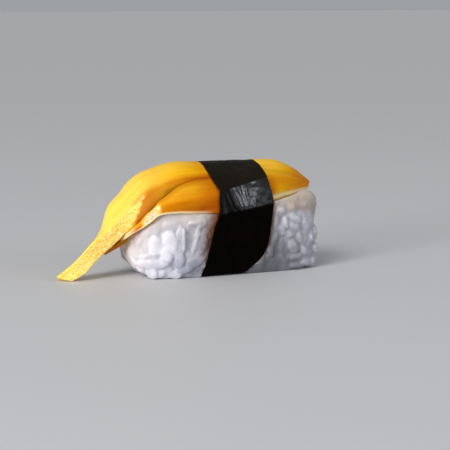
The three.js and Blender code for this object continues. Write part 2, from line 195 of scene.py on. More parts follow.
# Where the blunt end swells out below the mango's tip: middle, reach and push.
RICE_SWELL = ((22.0, -5.0, 17.0), (4.5, 6.0, 4.0), (2.2, -0.3, 0.9))

# The grains that can be told apart on the front, and a few at both ends: the two ends of each, its
# width, how far it stands out of the block, how many degrees it is turned about its length, and how
# bright it is. The brightness also carries painted light, raised on the grains at the lit tail end.
FRONT_GRAINS = (
    ((-22.0, -9.5, 10.7), (-21.8, -9.5, 5.7), 3.8, 0.75, 16, 0.62),
    ((-18.6, -10.8, 12.1), (-18.3, -10.9, 5.7), 4.6, 0.65, -12, 0.60),
    ((-19.8, -10.4, 7.7), (-18.6, -10.7, 4.2), 2.9, 0.98, -6, 0.50),
    ((-24.9, -5.8, 4.1), (-17.9, -10.9, 4.2), 3.1, 0.90, 16, 0.34),
    ((-24.9, -6.5, 5.7), (-21.0, -9.9, 6.0), 2.0, 0.55, 8, 0.30),
    ((-15.8, -11.4, 13.0), (-15.7, -11.5, 6.6), 2.0, 0.45, -12, 0.24),
    ((-15.0, -11.6, 12.7), (-15.0, -11.5, 6.8), 0.8, 0.70, 0, 0.46),
    ((-16.1, -11.4, 7.1), (-15.9, -11.2, 2.8), 2.9, 0.60, -12, 0.10),
    ((-13.9, -11.6, 13.4), (-13.8, -11.7, 5.2), 2.0, 0.00, 0, 0.10),
    ((-13.5, -11.6, 13.9), (-10.6, -11.9, 13.9), 1.1, 0.35, 0, 0.22),
    ((-10.8, -11.9, 13.8), (-11.5, -12.0, 9.4), 1.1, 0.38, -8, 0.24),
    ((-11.3, -11.9, 10.1), (-12.5, -11.9, 6.2), 1.1, 0.30, 0, 0.18),
    ((-9.4, -12.1, 11.7), (-10.7, -12.0, 5.6), 2.5, 0.30, 0, 0.06),
    ((-14.2, -11.5, 3.3), (-9.9, -12.0, 4.0), 2.5, 0.30, 12, 0.00),
    ((-16.9, -10.7, 1.8), (-12.7, -11.6, 2.4), 2.0, 0.60, 10, 0.16),
    ((-19.8, -10.2, 3.7), (-17.7, -10.2, 1.1), 2.7, 0.55, 0, 0.36),
    ((-23.3, -7.7, 3.0), (-22.4, -9.4, 0.0), 3.7, 1.35, 0, 0.50),
    ((-20.0, -8.6, 0.5), (-17.8, -9.8, 0.5), 1.5, 0.45, 0, 0.45),
    ((-26.0, 0.2, 6.4), (-24.2, -4.1, 2.3), 3.2, 0.20, 0, 1.00),
    ((-24.6, -7.2, 10.8), (-20.5, -10.0, 13.1), 3.7, 0.10, 0, 0.40),
    ((-20.1, -10.3, 13.6), (-16.8, -11.2, 12.8), 3.2, 0.10, 0, 0.38),
    ((-11.6, -11.8, 14.6), (-9.1, -12.0, 13.4), 2.2, 0.10, 0, 0.24),
    ((12.6, -11.1, 17.4), (18.1, -9.9, 17.5), 4.0, 0.10, 0, 0.42),
    ((10.4, -11.6, 16.5), (13.5, -11.6, 15.9), 2.5, 0.30, 0, 0.45),
    ((14.4, -11.6, 15.3), (17.8, -11.5, 13.3), 1.8, 0.35, 0, 0.42),
    ((10.2, -12.0, 14.3), (11.0, -12.1, 11.8), 1.8, 0.30, 0, 0.42),
    ((13.1, -11.9, 14.1), (13.6, -12.1, 11.6), 1.5, 0.35, 0, 0.50),
    ((11.6, -12.1, 11.7), (13.0, -12.1, 9.6), 1.5, 0.30, 0, 0.40),
    ((14.4, -12.0, 12.1), (17.8, -11.7, 10.8), 2.0, 0.25, 0, 0.38),
    ((18.8, -11.3, 13.7), (20.1, -11.1, 10.6), 2.3, 0.30, 0, 0.35),
    ((10.7, -12.2, 9.8), (9.6, -12.1, 6.8), 1.8, 0.30, 0, 0.35),
    ((13.6, -12.1, 9.8), (15.9, -12.0, 8.9), 1.8, 0.25, 0, 0.38),
    ((17.2, -11.8, 9.8), (18.1, -11.6, 6.9), 2.0, 0.25, 0, 0.38),
    ((14.8, -12.0, 7.7), (16.6, -11.8, 4.7), 2.8, 0.70, 0, 0.70),
    ((11.9, -12.1, 8.1), (12.5, -12.1, 5.0), 1.8, 0.25, 0, 0.30),
    ((8.8, -12.2, 6.6), (9.4, -12.1, 4.2), 1.5, 0.40, 0, 0.42),
    ((14.9, -11.8, 3.3), (17.9, -11.5, 3.6), 2.0, 0.50, 0, 0.38),
    ((11.1, -12.1, 4.1), (13.8, -11.8, 2.3), 2.0, 0.30, 0, 0.25),
    ((18.2, -11.6, 5.9), (19.9, -11.1, 4.1), 2.0, 0.40, 0, 0.35),
    ((18.4, -11.2, 1.9), (22.6, -8.7, 1.3), 2.0, 0.60, 0, 0.22),
    ((15.4, -11.4, 1.1), (18.3, -10.8, 0.9), 1.5, 0.45, 0, 0.20),
    ((-19.7, -8.0, 0.6), (-17.7, -9.5, 0.7), 1.6, 0.45, 0, 0.40),
    ((-20.8, -8.8, 2.8), (-20.2, -9.0, 0.4), 3.8, 0.95, 0, 0.62),
    ((-18.0, -9.8, 1.6), (-15.2, -10.4, 0.8), 2.4, 0.80, 0, 0.50),
    ((-25.1, 2.5, 6.0), (-23.1, -1.2, 1.8), 3.4, 0.20, 0, 0.90),
    ((-25.5, -5.4, 7.6), (-25.1, -6.4, 11.4), 3.4, 0.25, 0, 0.32),
    ((-26.1, -2.2, 7.7), (-25.5, -2.1, 4.6), 2.8, 0.20, 0, 0.80),
    ((-25.0, -3.3, 3.8), (-23.6, -4.6, 1.0), 2.8, 0.50, 0, 0.85),
    ((23.0, -8.0, 10.8), (23.0, -8.0, 6.8), 4.0, 1.10, 0, 0.40),
    ((21.6, -9.2, 5.3), (23.6, -7.2, 4.9), 2.8, 1.50, 0, 0.35),
    ((20.6, -9.6, 1.9), (23.0, -6.8, 1.8), 3.0, 1.25, 0, 0.25),
    ((22.6, -3.0, 6.5), (23.2, 1.0, 8.0), 3.4, 0.70, 0, 0.40),
    ((22.8, -2.0, 13.0), (22.8, 2.5, 11.5), 3.6, 0.60, 0, 0.45),
)

# The other grains, which fill the rest: their size as a share of a full grain's, how far they lean
# out of the surface, how deep their middles lie, and how far apart as a share of the grain spacing.
LOOSE_GRAINS = {"size": (0.9, 1.15), "lean": 0.15, "sunk": (1.1, 1.45), "apart": 1}
BLUNT_GRAINS = {"size": (0.55, 0.8), "lean": 0.5, "sunk": (0.6, 1.2), "apart": 0.72}
BLUNT_FROM = 9  # the blunt end's grains lie past this X
BARE_FROM = (16.5, 13)  # past this X and above this Z, under the mango's tip, no grain shows
GRAIN_TRIES = 2600  # places tried all round the block
GRAIN_BURIED = 5  # grains this far in under the strip are left out
GRAIN_CHANCES = 5  # a grain that would reach into the mango is moved down and tried again,
GRAIN_STEP = 0.9  # this far each time
GRAIN_ROUNDNESS = (0.55, 0.85)  # where X is less than 0, and where it is more; 1 is a plain ball

LIP_OUT = 0.7  # how far the rice comes out to meet the slices' lower edges
LIP_UP = 0.3  # and how far it comes up there
SOFTER_FROM = 8  # past this X the rice is smoothed once more
LAP_HEIGHT = 1.1  # the rice is at least this high above the table where the strip runs under it

# ---- Small tools -----------------------------------------------------------------------------------


def smooth_curve(rows, along):
    """Points of a smooth curve through the rows, at the shares along (0 to 1) of its stations."""
    rows = np.array(rows, float)
    rows = np.vstack([2 * rows[0] - rows[1], rows, 2 * rows[-1] - rows[-2]])
    place = np.clip(along, 0, 1) * (len(rows) - 3)
    first = np.minimum(place.astype(int), len(rows) - 4)
    w = (place - first)[:, None]
    a, b, c, d = (rows[first + k] for k in range(4))
    return 0.5 * (
        2 * b + (c - a) * w + (2 * a - 5 * b + 4 * c - d) * w**2 + (3 * b - a - 3 * c + d) * w**3
    )


def unit(vectors):
    """The vectors, each made 1 long."""
    return vectors / np.maximum(np.linalg.norm(vectors, axis=-1, keepdims=True), 1e-12)


def ramp(values, low, high):
    """0 below low, 1 above high, and smooth between them. low may be the larger."""
    share = np.clip((values - low) / (high - low), 0, 1)
    return share * share * (3 - 2 * share)


def mix(a, b, share):
    """a where the share is 0, b where it is 1."""
    return a + (b - a) * share


def rough_field(points, size, seed=0.0, octaves=3):
    """Smooth noise of about -1 to 1 at each point, with features of that size in millimetres."""
    shift = Vector((seed * 17.3, seed * -9.1, seed * 5.7))
    scale = 1 / size
    return np.array(
        [noise.fractal(Vector(p) * scale + shift, 1.0, 2.0, octaves) for p in points.tolist()]
    )


def pebble_field(points, size, seed=0.0):
    """0 in the creases and about 1 on top of rounded pebbles of that size in millimetres."""
    shift = Vector((seed * 3.7, seed * 7.9, seed * -2.3))
    scale = 1 / size
    return np.array(
        [1 - min(noise.voronoi(Vector(p) * scale + shift)[0][0], 1) for p in points.tolist()]
    )


def read_points(mesh):
    """The mesh's points, a row for each."""
    flat = np.empty(len(mesh.vertices) * 3)
    mesh.vertices.foreach_get("co", flat)
    return flat.reshape(-1, 3)


def write_points(mesh, points):
    """Moves the mesh's points to those places."""
    mesh.vertices.foreach_set("co", np.ascontiguousarray(points, float).ravel())
    mesh.update()


def read_normals(mesh):
    """The way the surface faces at each of the mesh's points."""
    flat = np.empty(len(mesh.vertices) * 3)
    mesh.vertex_normals.foreach_get("vector", flat)
    return flat.reshape(-1, 3)


def paint(mesh, name, values):
    """A value at each vertex that the material can read by that name."""
    layer = mesh.attributes.new(name, "FLOAT", "POINT")
    layer.data.foreach_set("value", np.ascontiguousarray(values, float))


def add_piece(name, mesh, node, material):
    """A piece of the nigiri that takes the place of a node of the model."""
    piece = bpy.data.objects.new(name, mesh)
    bpy.context.scene.collection.objects.link(piece)
    mesh.materials.clear()
    mesh.materials.append(material)
    mesh.shade_smooth()
    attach(piece, "root")
    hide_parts(node)
    return piece


def mesh_from(bm, name):
    """The finished mesh, with its faces turned outwards and in the same order on every run. The
    order matters to the rice, because it settles which face is nearest where two are as near."""
    bmesh.ops.recalc_face_normals(bm, faces=bm.faces)
    bm.verts.index_update()
    faces = []
    for face in bm.faces:
        corners = [v.index for v in face.verts]
        start = corners.index(min(corners))
        faces.append(corners[start:] + corners[:start])
    mesh = bpy.data.meshes.new(name)
    mesh.from_pydata([v.co[:] for v in bm.verts], [], sorted(faces))
    bm.free()
    return mesh


# ---- Materials -------------------------------------------------------------------------------------


class Finish:
    """A new material, and short ways to add and join its nodes."""

    def __init__(self, name):
        self.material = bpy.data.materials.new(name)
        self.material.use_nodes = True
        self.tree = self.material.node_tree
        self.shader = self.tree.nodes["Principled BSDF"]

    def node(self, kind, inputs=None, **settings):
        """A new node with its settings, and with each of its inputs fed."""
        made = self.tree.nodes.new(kind)
        for key, value in settings.items():
            setattr(made, key, value)
        for key, value in (inputs or {}).items():
            self.feed(made.inputs[key], value)
        return made

    def feed(self, socket, value):
        """Joins another node's output to the input, or gives it a plain value or colour."""
        if isinstance(value, bpy.types.NodeSocket):
            self.tree.links.new(value, socket)
        elif socket.type == "RGBA":
            socket.default_value = (*value, 1.0)
        else:
            socket.default_value = value

    def set(self, **values):
        """Feeds the shader's own inputs, such as Base_Color."""
        for key, value in values.items():
            self.feed(self.shader.inputs[key.replace("_", " ")], value)

    def attribute(self, name):
        return self.node("ShaderNodeAttribute", attribute_name=name).outputs["Fac"]

    def coords(self):
        """Places in metres, in the piece's own frame."""
        return self.node("ShaderNodeTexCoord").outputs["Object"]

    def surface_coords(self, scale):
        """Places on a slice's surface, in millimetres along and across it, times the scale."""
        place = self.node("ShaderNodeUVMap", uv_map="surface").outputs[0]
        return self.node("ShaderNodeMapping", {"Vector": place, "Scale": scale}).outputs["Vector"]

    def noise(self, vector, scale, detail=3.0, roughness=0.5, distortion=0.0):
        inputs = {"Vector": vector, "Scale": scale, "Detail": detail}
        inputs |= {"Roughness": roughness, "Distortion": distortion}
        return self.node("ShaderNodeTexNoise", inputs).outputs["Fac"]

    def cells(self, vector, scale):
        return self.node("ShaderNodeTexVoronoi", {"Vector": vector, "Scale": scale}).outputs["Distance"]

    def spread(self, value, low, high, to_low=0.0, to_high=1.0):
        """The value's range from low to high, spread over another range and kept within it."""
        inputs = {"Value": value, "From Min": low, "From Max": high, "To Min": to_low, "To Max": to_high}
        return self.node("ShaderNodeMapRange", inputs).outputs["Result"]

    def combine(self, operation, a, b):
        return self.node("ShaderNodeMath", {0: a, 1: b}, operation=operation).outputs[0]

    def blend(self, share, a, b, mode="MIX"):
        """Colour a where the share is 0, and b, or b times a, where it is 1."""
        inputs = {0: share, 6: a, 7: b}
        return self.node("ShaderNodeMix", inputs, data_type="RGBA", blend_type=mode).outputs[2]

    def bump(self, height, distance, strength, under=None):
        """Unevenness of that depth in metres, on top of another bump if one is given."""
        inputs = {"Height": height, "Distance": distance, "Strength": strength}
        if under is not None:
            inputs["Normal"] = under
        return self.node("ShaderNodeBump", inputs).outputs["Normal"]


def rice_finish(rice):
    """Moist, half clear rice, stained by the mango and along the seaweed's edge, with painted light and
    shade in its colour.
    """
    f = Finish("moist rice")
    near = f.coords()
    cloud = f.spread(f.noise(near, 260, 2), 0.35, 0.65, -0.12, 0.12)
    tone_and_light = f.combine("ADD", f.attribute("grain_tone"), cloud)
    # The grain tone holds the grains' own tone, along with painted light at the lit tail end and painted
    # shade towards the strip.
    base = f.blend(tone_and_light, rice.shade_colour, rice.colour)
    # Painted shade: darker rice towards the base, beside the strip and under the mango's tip.
    base = f.blend(f.attribute("dim"), base, rice.painted_shade_colour)
    # Painted shade in the creases between grains.
    base = f.blend(f.spread(f.attribute("crease"), 0, 1, 0, 0.06), base, rice.crease_shade_colour)
    patches = f.spread(f.noise(near, 420), 0.3, 0.7, 0.75, 1)
    tint = f.combine("MULTIPLY", f.attribute("fruit_tint"), patches)
    base = f.blend(tint, base, rice.tint_colour)
    base = f.blend(f.attribute("juice"), base, rice.juice_colour)
    f.set(Base_Color=base, Roughness=0.4, IOR=1.4, Specular_IOR_Level=0.5)
    f.set(Subsurface_Weight=f.spread(f.attribute("juice"), 0, 1, 0.8, 0.1))
    f.set(Subsurface_Radius=(1.0, 0.93, 0.9), Subsurface_Scale=0.0021)
    f.set(Coat_Weight=0.15, Coat_Roughness=0.2)
    fine = f.bump(f.noise(near, 1900, 2), 0.00005, 0.5)
    f.set(Normal=f.bump(f.noise(near, 620, 3), 0.0002, 0.55, fine))
    return f.material


def mango_finish(mango):
    """Smooth fibrous flesh, granular where it was cut."""
    f = Finish("ripe mango")
    near = f.coords()
    fibres = f.noise(f.surface_coords((0.09, 1.1, 1)), 1.0, 4, 0.6, 0.4)
    # Pale lemon where ripe is low: the paler flesh, together with a painted sheen.
    base = f.blend(f.attribute("ripe"), mango.lemon_and_sheen, mango.yellow)
    # Deeper orange: partly the flesh's own colour, partly painted shade on the cut sides.
    base = f.blend(f.attribute("deep"), base, mango.orange_and_shade)
    # Painted shade.
    base = f.blend(f.attribute("dark"), base, mango.shade_amber)
    streak = f.spread(fibres, 0.38, 0.66, 0.0, 0.3)
    base = f.blend(streak, base, mango.yellow, "MULTIPLY")
    speck = f.spread(f.noise(near, 2600, 2, 0.6), 0.38, 0.6)
    grit = f.blend(speck, mango.cut_dark, mango.cut_pale)
    flush = f.blend(speck, mango.flush_dark, mango.flush_pale)
    base = f.blend(f.attribute("cut"), base, f.blend(f.attribute("flush"), grit, flush))
    # Painted glow along the slices' thin lower edge.
    base = f.blend(f.attribute("rim"), base, mango.rim)
    f.set(Base_Color=base, IOR=1.4, Specular_IOR_Level=0.06)
    f.set(Roughness=f.spread(f.attribute("cut"), 0, 1, 0.38, 0.55))
    f.set(Subsurface_Weight=0.5, Subsurface_Radius=(1.0, 0.45, 0.12), Subsurface_Scale=0.0018)
    smooth = f.bump(fibres, 0.00012, 0.5)
    pits = f.bump(f.noise(near, 1500, 3, 0.6), 0.00016, 0.45, smooth)
    f.set(Normal=pits)
    return f.material


def seaweed_finish(seaweed):
    """Nearly black, with a dull olive top and shining facets."""
    f = Finish("roasted seaweed")
    near = f.coords()
    mottle = f.spread(f.noise(near, 330, 5, 0.62, 0.6), 0.4, 0.62)
    base = f.blend(mottle, seaweed.colour, seaweed.brown)
    olive = f.spread(f.noise(near, 260, 3), 0.35, 0.65, 0.35, 1)
    base = f.blend(f.combine("MULTIPLY", olive, f.attribute("upper")), base, seaweed.olive)
    f.set(Base_Color=base, IOR=1.45)
    shine = f.combine("MAXIMUM", f.attribute("gloss"), f.spread(f.attribute("upper"), 0, 1, 0, 0.07))
    f.set(Specular_IOR_Level=f.spread(shine, 0, 1, 0.015, 1.0))
    matt = f.spread(f.noise(near, 520, 4, 0.6), 0.35, 0.65, 0.0, 0.16)
    f.set(Roughness=f.combine("ADD", matt, f.spread(f.attribute("gloss"), 0, 1, 0.42, 0.16)))
    pebbles = f.bump(f.cells(near, 1500), 0.00006, 0.4)
    creases = f.bump(f.noise(near, 480, 4, 0.6, 0.8), 0.0002, 0.45, pebbles)
    f.set(Normal=creases)
    return f.material


def stage_finish(stage):
    """A plain pale floor."""
    f = Finish("plain pale floor")
    mottle = f.spread(f.noise(f.coords(), 40, 2), 0.3, 0.7, 0, 0.05)
    base = f.blend(mottle, stage.floor_colour, stage.floor_pale)
    f.set(Base_Color=base, Roughness=0.6)
    return f.material


# ---- Mango -----------------------------------------------------------------------------------------


def slice_points(shape, along, across, height):
    """Where a slice's points lie: along from tail to blunt end, across from the cut side to the
    far side, and height from the underside to the top, each a share from 0 to 1."""
    edge = smooth_curve(shape["edge"], along)
    foot = smooth_curve(shape["foot"], along)
    width, crown, roll = smooth_curve(shape["section"], along).T[:, :, None]
    middle, far = smooth_curve(shape["depth"], along).T[:, :, None]
    step = 1e-4
    forward = unit(smooth_curve(shape["edge"], along + step) - smooth_curve(shape["edge"], along - step))
    level = unit(np.cross(UP, forward))
    upright = np.cross(forward, level)
    turn = np.radians(roll)
    side = level * np.cos(turn) + upright * np.sin(turn)
    out = np.cross(forward, side)

    share = across[:, None]
    arch = 4 * share * (1 - share)
    top = edge + side * share * width + out * crown * arch
    rear = edge + side * width - out * far
    sag = middle - (np.linalg.norm(edge - foot, axis=1, keepdims=True) + far) / 2
    below = foot + (rear - foot) * share + out * (crown - sag) * arch
    points = below + (top - below) * height[:, None]
    points[:, 2] = np.maximum(points[:, 2], TABLE_GAP)
    return points


def slice_block(length, width, thickness, corner, spacing):
    """A block of that size with rounded edges, cut into a fine even grid."""
    bm = bmesh.new()
    bmesh.ops.create_cube(bm, size=1.0)
    bmesh.ops.scale(bm, vec=(length, width, thickness), verts=bm.verts)
    bmesh.ops.bevel(
        bm, geom=bm.edges[:], offset=corner, segments=3, profile=0.5, affect="EDGES", material=-1
    )
    for axis, size in enumerate((length, width, thickness)):
        long_edges = [
            e for e in bm.edges
            if abs((e.verts[0].co - e.verts[1].co)[axis]) > (size - 2 * corner) * 0.9
        ]
        cuts = max(int(round((size - 2 * corner) / spacing)) - 1, 1)
        bmesh.ops.subdivide_edges(bm, edges=long_edges, cuts=cuts, use_grid_fill=True)
    return bm


def build_slice(name, shape, size, settings, marks, mirrored, seed):
    """One slice: the block bent to its shape, then roughened where it was cut."""
    length, width, thickness = size
    bm = slice_block(length, width, thickness, settings.corner / MM, settings.spacing / MM)
    mesh = mesh_from(bm, name)
    box = read_points(mesh)
    along, across, height = (box / np.array(size) + 0.5).T
    points = slice_points(shape, along, across, height)

    layer = mesh.uv_layers.new(name="surface")
    corners = np.empty(len(mesh.loops), int)
    mesh.loops.foreach_get("vertex_index", corners)
    run = along * length
    sweep = across * width + (1 - height) * thickness * 1.7  # the fibres run down the cut side as well
    layer.data.foreach_set("uv", np.stack([run[corners], sweep[corners]], 1).ravel())

    over = (1 - height) * thickness - across * width  # how far past the cut side's upper edge
    masks = marks(points, across, height, over, seed)
    if mirrored:
        points[:, 1] *= -1
    points = press_under_band(points, SLICE_CLEAR)
    if mirrored:
        points[:, 1] *= -1
    write_points(mesh, points)
    normals = read_normals(mesh)
    grit = pebble_field(points, 0.85, seed) - 0.55 + 0.5 * rough_field(points, 1.6, seed + 1)
    swell = rough_field(points * np.array([0.35, 1, 1]), 3.0, seed + 2)
    relief = masks["cut"] * grit * settings.grit / MM + swell * settings.swell / MM
    relief *= np.where(points[:, 2] < 0.4, 0.3, 1)  # flatter where the tail lies on the table
    points = points + normals * relief[:, None]
    points[:, 2] = np.maximum(points[:, 2], TABLE_GAP)
    if mirrored:
        points[:, 1] *= -1
        mesh.flip_normals()
    write_points(mesh, points * MM)
    for key, values in masks.items():
        paint(mesh, key, np.clip(values, 0, 1))
    return mesh


def blunt_marks(points, facing, height):
    """The colours past the seaweed, where the slices run together into one smooth surface."""
    x, _, z = points.T
    # Painted light: a patch glowing through the flesh by the strip, where the orange is held back.
    painted_glow = np.exp(-(((x - 12.8) / 2.2) ** 2) - ((z - 20.4) / 1.4) ** 2)  # a bright patch by the strip
    return {
        # Paler on the top, as painted sheen.
        "ripe": mix(0.7, 1.0, ramp(z, 26.5, 24.5)),
        # Deeper orange low on the cut side and towards the far end, partly painted shade; less in the
        # painted glow.
        "deep": (ramp(z, 26.0, 22.6) * 0.75 + ramp(x, 15, 23) * 0.35) * (1 - 0.6 * painted_glow),
        # Painted shade beside the strip and towards the far blunt end.
        "dark": ramp(x, 13.5, 9.3) * ramp(z, 25.4, 22.6) * 0.75 + ramp(x, 18, 25) * 0.25,
        # Painted glow along the thin lower edge.
        "rim": facing * np.exp(-(((height - 0.2) / 0.09) ** 2)) * 0.75,
    }


def ragged_line(points, seed):
    """How far the edge of a cut face strays at each point, in millimetres."""
    return rough_field(points, 1.2, seed + 5) * 0.9


def top_marks(points, across, height, over, seed):
    """The colours of the top slice at each point, from 0 to 1. ripe is low where the pale
    flesh and its painted sheen show; deep (deeper flesh, partly painted shade) and dark are
    ever darker; cut is the pale granular cut, flush its redder kind, and rim a painted glow along the
    thin lower edge."""
    x = points[:, 0]
    ragged = ragged_line(points, seed)
    facing = ramp(across, 0.07, 0.03)
    low = ramp(height, 0.98, 0.88)
    cut = facing * low * ramp(x + ragged, mix(-27.0, -22.2, height), mix(-27.8, -23.0, height))
    tail_end = ramp(x, -41.5, -43.5)
    side = ramp(over, -1.2, 1.0)
    near_strip = ramp(x, -15, -7)
    # Pale at the tail: paler flesh with a painted sheen.
    ripe = ramp(x, -36, -4) * 0.85 + ramp(across, 0.45, 0.05) * 0.25 * ramp(x, -24, -16)
    # The cut side's deeper orange is partly the flesh's own colour and partly painted shade.
    deep = side * ramp(x, -27, -22) * 0.8 + ramp(over, -4.5, 0.0) * near_strip * 0.4
    # Painted shade low on the cut side at the tail, along the cut side, and next to the strip.
    dark = side * ramp(height, 0.5, 0.05) * ramp(x, -27.5, -24.5) * ramp(x, -8, -15) * 0.45
    dark = dark + side * ramp(x, -21, -14) * 0.45 + ramp(x, -10.0, -5.8) * 0.4
    dark = dark + side * (ramp(x, -14, -8) * 0.6 + ramp(x, -26.5, -25) * ramp(x, -18, -22) * 0.6)
    # Painted glow along the thin lower edge at the tail.
    rim = facing * ramp(height, 0.12, 0.02) * ramp(x, -24.5, -27.5) * 0.35 * (1 - tail_end)
    masks = {"ripe": ripe, "deep": deep, "dark": dark, "rim": rim}
    return {"cut": cut, "flush": 0 * x} | past_strip(masks, points, 0 * x, height)


def front_marks(points, across, height, over, seed):
    """The colours of the front slice, with the shade of the slice that lies over it."""
    x = points[:, 0]
    ragged = ragged_line(points, seed)
    facing = ramp(across, 0.09, 0.04)
    side = ramp(over, -2.2, 2.2)
    cut = facing * ramp(x + ragged, -20.4, -21.6) * ramp(x + ragged * 0.6, -24.9, -23.9)
    near_strip = ramp(x, -19, -6.5)
    # A little paler towards the tail: paler flesh with a painted sheen.
    ripe = mix(0.85, 1.0, ramp(x, -16, -6)) + 0 * x
    # The cut side's deeper orange is partly the flesh's own colour and partly painted shade; the shade
    # under the top slice is added to it below.
    deep = 0.28 + side * 0.75 + ramp(over, -6, 0) * near_strip * 0.4
    deep = deep * np.maximum(ramp(x, -22.5, -19.5), ramp(x, -24, -25))
    # Painted glow along the thin lower edge, and at the tail end.
    rim = facing * ramp(height, 0.27, 0.13) * mix(1.0, 0.5, ramp(x, -17, -8)) * ramp(x, -6.5, -9.5)
    rim = np.maximum(rim, facing * ramp(x, -25.5, -27.5) * 0.6)
    foot = smooth_curve(TOP_SLICE["foot"], np.linspace(0, 1, 200))
    past_foot = points[:, 1] - np.interp(x, foot[:, 0], foot[:, 1])  # of the slice that lies over it
    shaded = ramp(past_foot, -1.7, -0.1) * ramp(x, -23, -20) * 0.22
    # Painted shade: a little over the whole slice, on the cut side beside the strip, next to the strip and
    # under the top slice's foot.
    dark = 0.1 + ramp(over, 0.4, 4.0) * (0.26 + near_strip * 0.8) + ramp(x, -13, -5.6) * 0.7 + shaded
    dark = (dark + side * ramp(x, -24.3, -25.2) * 0.35) * (1 - rim)
    masks = {"ripe": ripe, "deep": deep + shaded * 1.6, "dark": dark, "rim": rim}
    masks = past_strip(masks, points, facing, height)
    return {"cut": cut, "flush": cut * ramp(x, -20.5, -22.5)} | masks


def past_strip(masks, points, facing, height):
    """The masks, with those of the blunt end past the seaweed."""
    blunt = blunt_marks(points, facing, height)
    share = ramp(points[:, 0], 7, 8.5)  # changes over under the strip, where it doesn't show
    return {key: mix(values, blunt[key], share) for key, values in masks.items()}


def back_marks(points, across, height, over, seed):
    """The colours of the back slice."""
    x = points[:, 0]
    ragged = ragged_line(points, seed)
    facing = ramp(across, 0.09, 0.04)
    side = ramp(over, -2.2, 2.2)
    cut = facing * ramp(x + ragged, -22.4, -23.8) * ramp(x, -29.5, -28.0)
    # A little of the pale flesh and its painted sheen.
    ripe = 0.9 + 0 * x
    # The cut side's deeper orange is partly the flesh's own colour and partly painted shade.
    deep = side * 0.7 + ramp(x, -24, -27) * 0.8
    # Painted shade on the cut side beside the strip and at the tail end.
    dark = ramp(over, 0.4, 4.0) * ramp(x, -18, -7) * 0.7 + ramp(x, -26, -28.5) * 0.5
    # Painted glow along the thin lower edge.
    rim = facing * ramp(height, 0.14, 0.04) * ramp(x, -27, -25) * 0.8
    masks = {"ripe": ripe, "deep": deep, "dark": dark * (1 - rim), "rim": rim}
    return {"cut": cut, "flush": 0 * x} | past_strip(masks, points, facing, height)


# ---- Seaweed ---------------------------------------------------------------------------------------


def band_points(around, side):
    """The outside of the strip: around is the share of the way round, side runs from 0 to 1."""
    tails = np.array([c[0] for c in BAND_CORNERS])
    blunts = np.array([c[1] for c in BAND_CORNERS])
    softness = np.array([c[2] for c in BAND_CORNERS])
    count = len(BAND_CORNERS)
    turn = (around * count + 0.5) % count
    here = np.minimum(turn.astype(int), count - 1)
    share = (turn - here)[:, None]

    def at(i):
        return mix(tails[i % count], blunts[i % count], side[:, None])

    corner = at(here)
    soft = softness[here][:, None]
    before = mix(corner, at(here - 1), 0.5)
    after = mix(corner, at(here + 1), 0.5)
    enter = mix(corner, before, soft)
    leave = mix(corner, after, soft)
    straight = 0.35 * (1 - soft)
    w = np.clip((share - straight) / (1 - 2 * straight), 0, 1)
    bend = (1 - w) ** 2 * enter + 2 * w * (1 - w) * corner + w**2 * leave
    safe = np.maximum(straight, 1e-9)
    bend = np.where(share < straight, mix(before, enter, share / safe), bend)
    past = share > 1 - straight
    return np.where(past, mix(leave, after, (share - 1 + straight) / safe), bend)


def band_inwards(around, side):
    """The way in from the strip's outside, square to it and to X."""
    step = 1e-3
    along = band_points(around + step, side) - band_points(around - step, side)
    along[:, 0] = 0
    return unit(np.stack([0 * side, along[:, 2], -along[:, 1]], 1))


def fold_place(side, rise, low, high, wide):
    """1 along a line over the shining facet that runs from side low at its foot to side high at its
    top, falling off over the width, all three in shares of the strip's width."""
    return np.exp(-(((side - mix(low, high, rise)) / wide) ** 2))


def band_wrinkles(around, side, points, seaweed):
    """How far the strip stands out of its smooth shape, in millimetres."""
    z = points[:, 2]
    rise = around * len(BAND_CORNERS) - SHINING  # 0 at the facet's foot and 1 at its top
    facet = ramp(rise, 0.02, 0.2) * ramp(rise, 0.98, 0.85)
    wander = side + 0.02 * rough_field(points, 2.5, 7.7, 2)
    folds = 0 * side
    for low, high, wide, tall, start, end in FOLDS:
        shown = ramp(rise, start, start + FOLD_FADE) * ramp(rise, end, end - FOLD_FADE)
        folds += tall * fold_place(wander, rise, low, high, wide) * shown
    crumple = rough_field(points, 4.0, 3.1, 3)
    ridged = 1 - 2 * np.abs(rough_field(points * np.array([1.3, 1, 0.8]), 4.2, 8.4, 3))
    crinkle = 1 - 2 * np.abs(rough_field(points, 3.2, 4.4, 3))
    relief = 0.1 * crumple + 0.06 * ridged + facet * (folds + 0.16 * crinkle)
    return relief * ramp(z, 0.15, 1.6) * seaweed.wrinkle


def band_marks(around, side, points):
    """Where the strip shows its dull top (upper) and where it shines (gloss), from 0 to 1."""
    bends = around * len(BAND_CORNERS)
    upper = ramp(bends, 4.85, 5.1) * ramp(bends, 9.15, 8.9)
    front = ramp(bends, 3.85, 4.1) * ramp(bends, 5.05, 4.85)
    gloss = front + ramp(bends, 8.95, 9.15) * ramp(bends, 10.1, 9.9)
    rise = np.clip(bends - SHINING, 0, 1)
    # The folded part shines only in two streaks, and the blunt-side edge shines less.
    folded = ramp(side, mix(0.42, 0.17, rise), mix(0.36, 0.11, rise)) * ramp(bends, 7, 6)
    streaks = fold_place(side, rise, 0.30, 0.07, 0.022)
    streaks = streaks + fold_place(side, rise, 0.12, 0.02, 0.03) * (1 - rise)
    gloss *= mix(1, 0.12 + 0.6 * np.clip(streaks, 0, 1), folded)
    patches = np.clip(0.9 + 0.4 * rough_field(points, 3.5, 9.1, 3), 0, 1)
    gloss *= mix(1, 0.55, ramp(side, 0.66, 0.85)) * patches
    return {"upper": upper, "gloss": gloss}


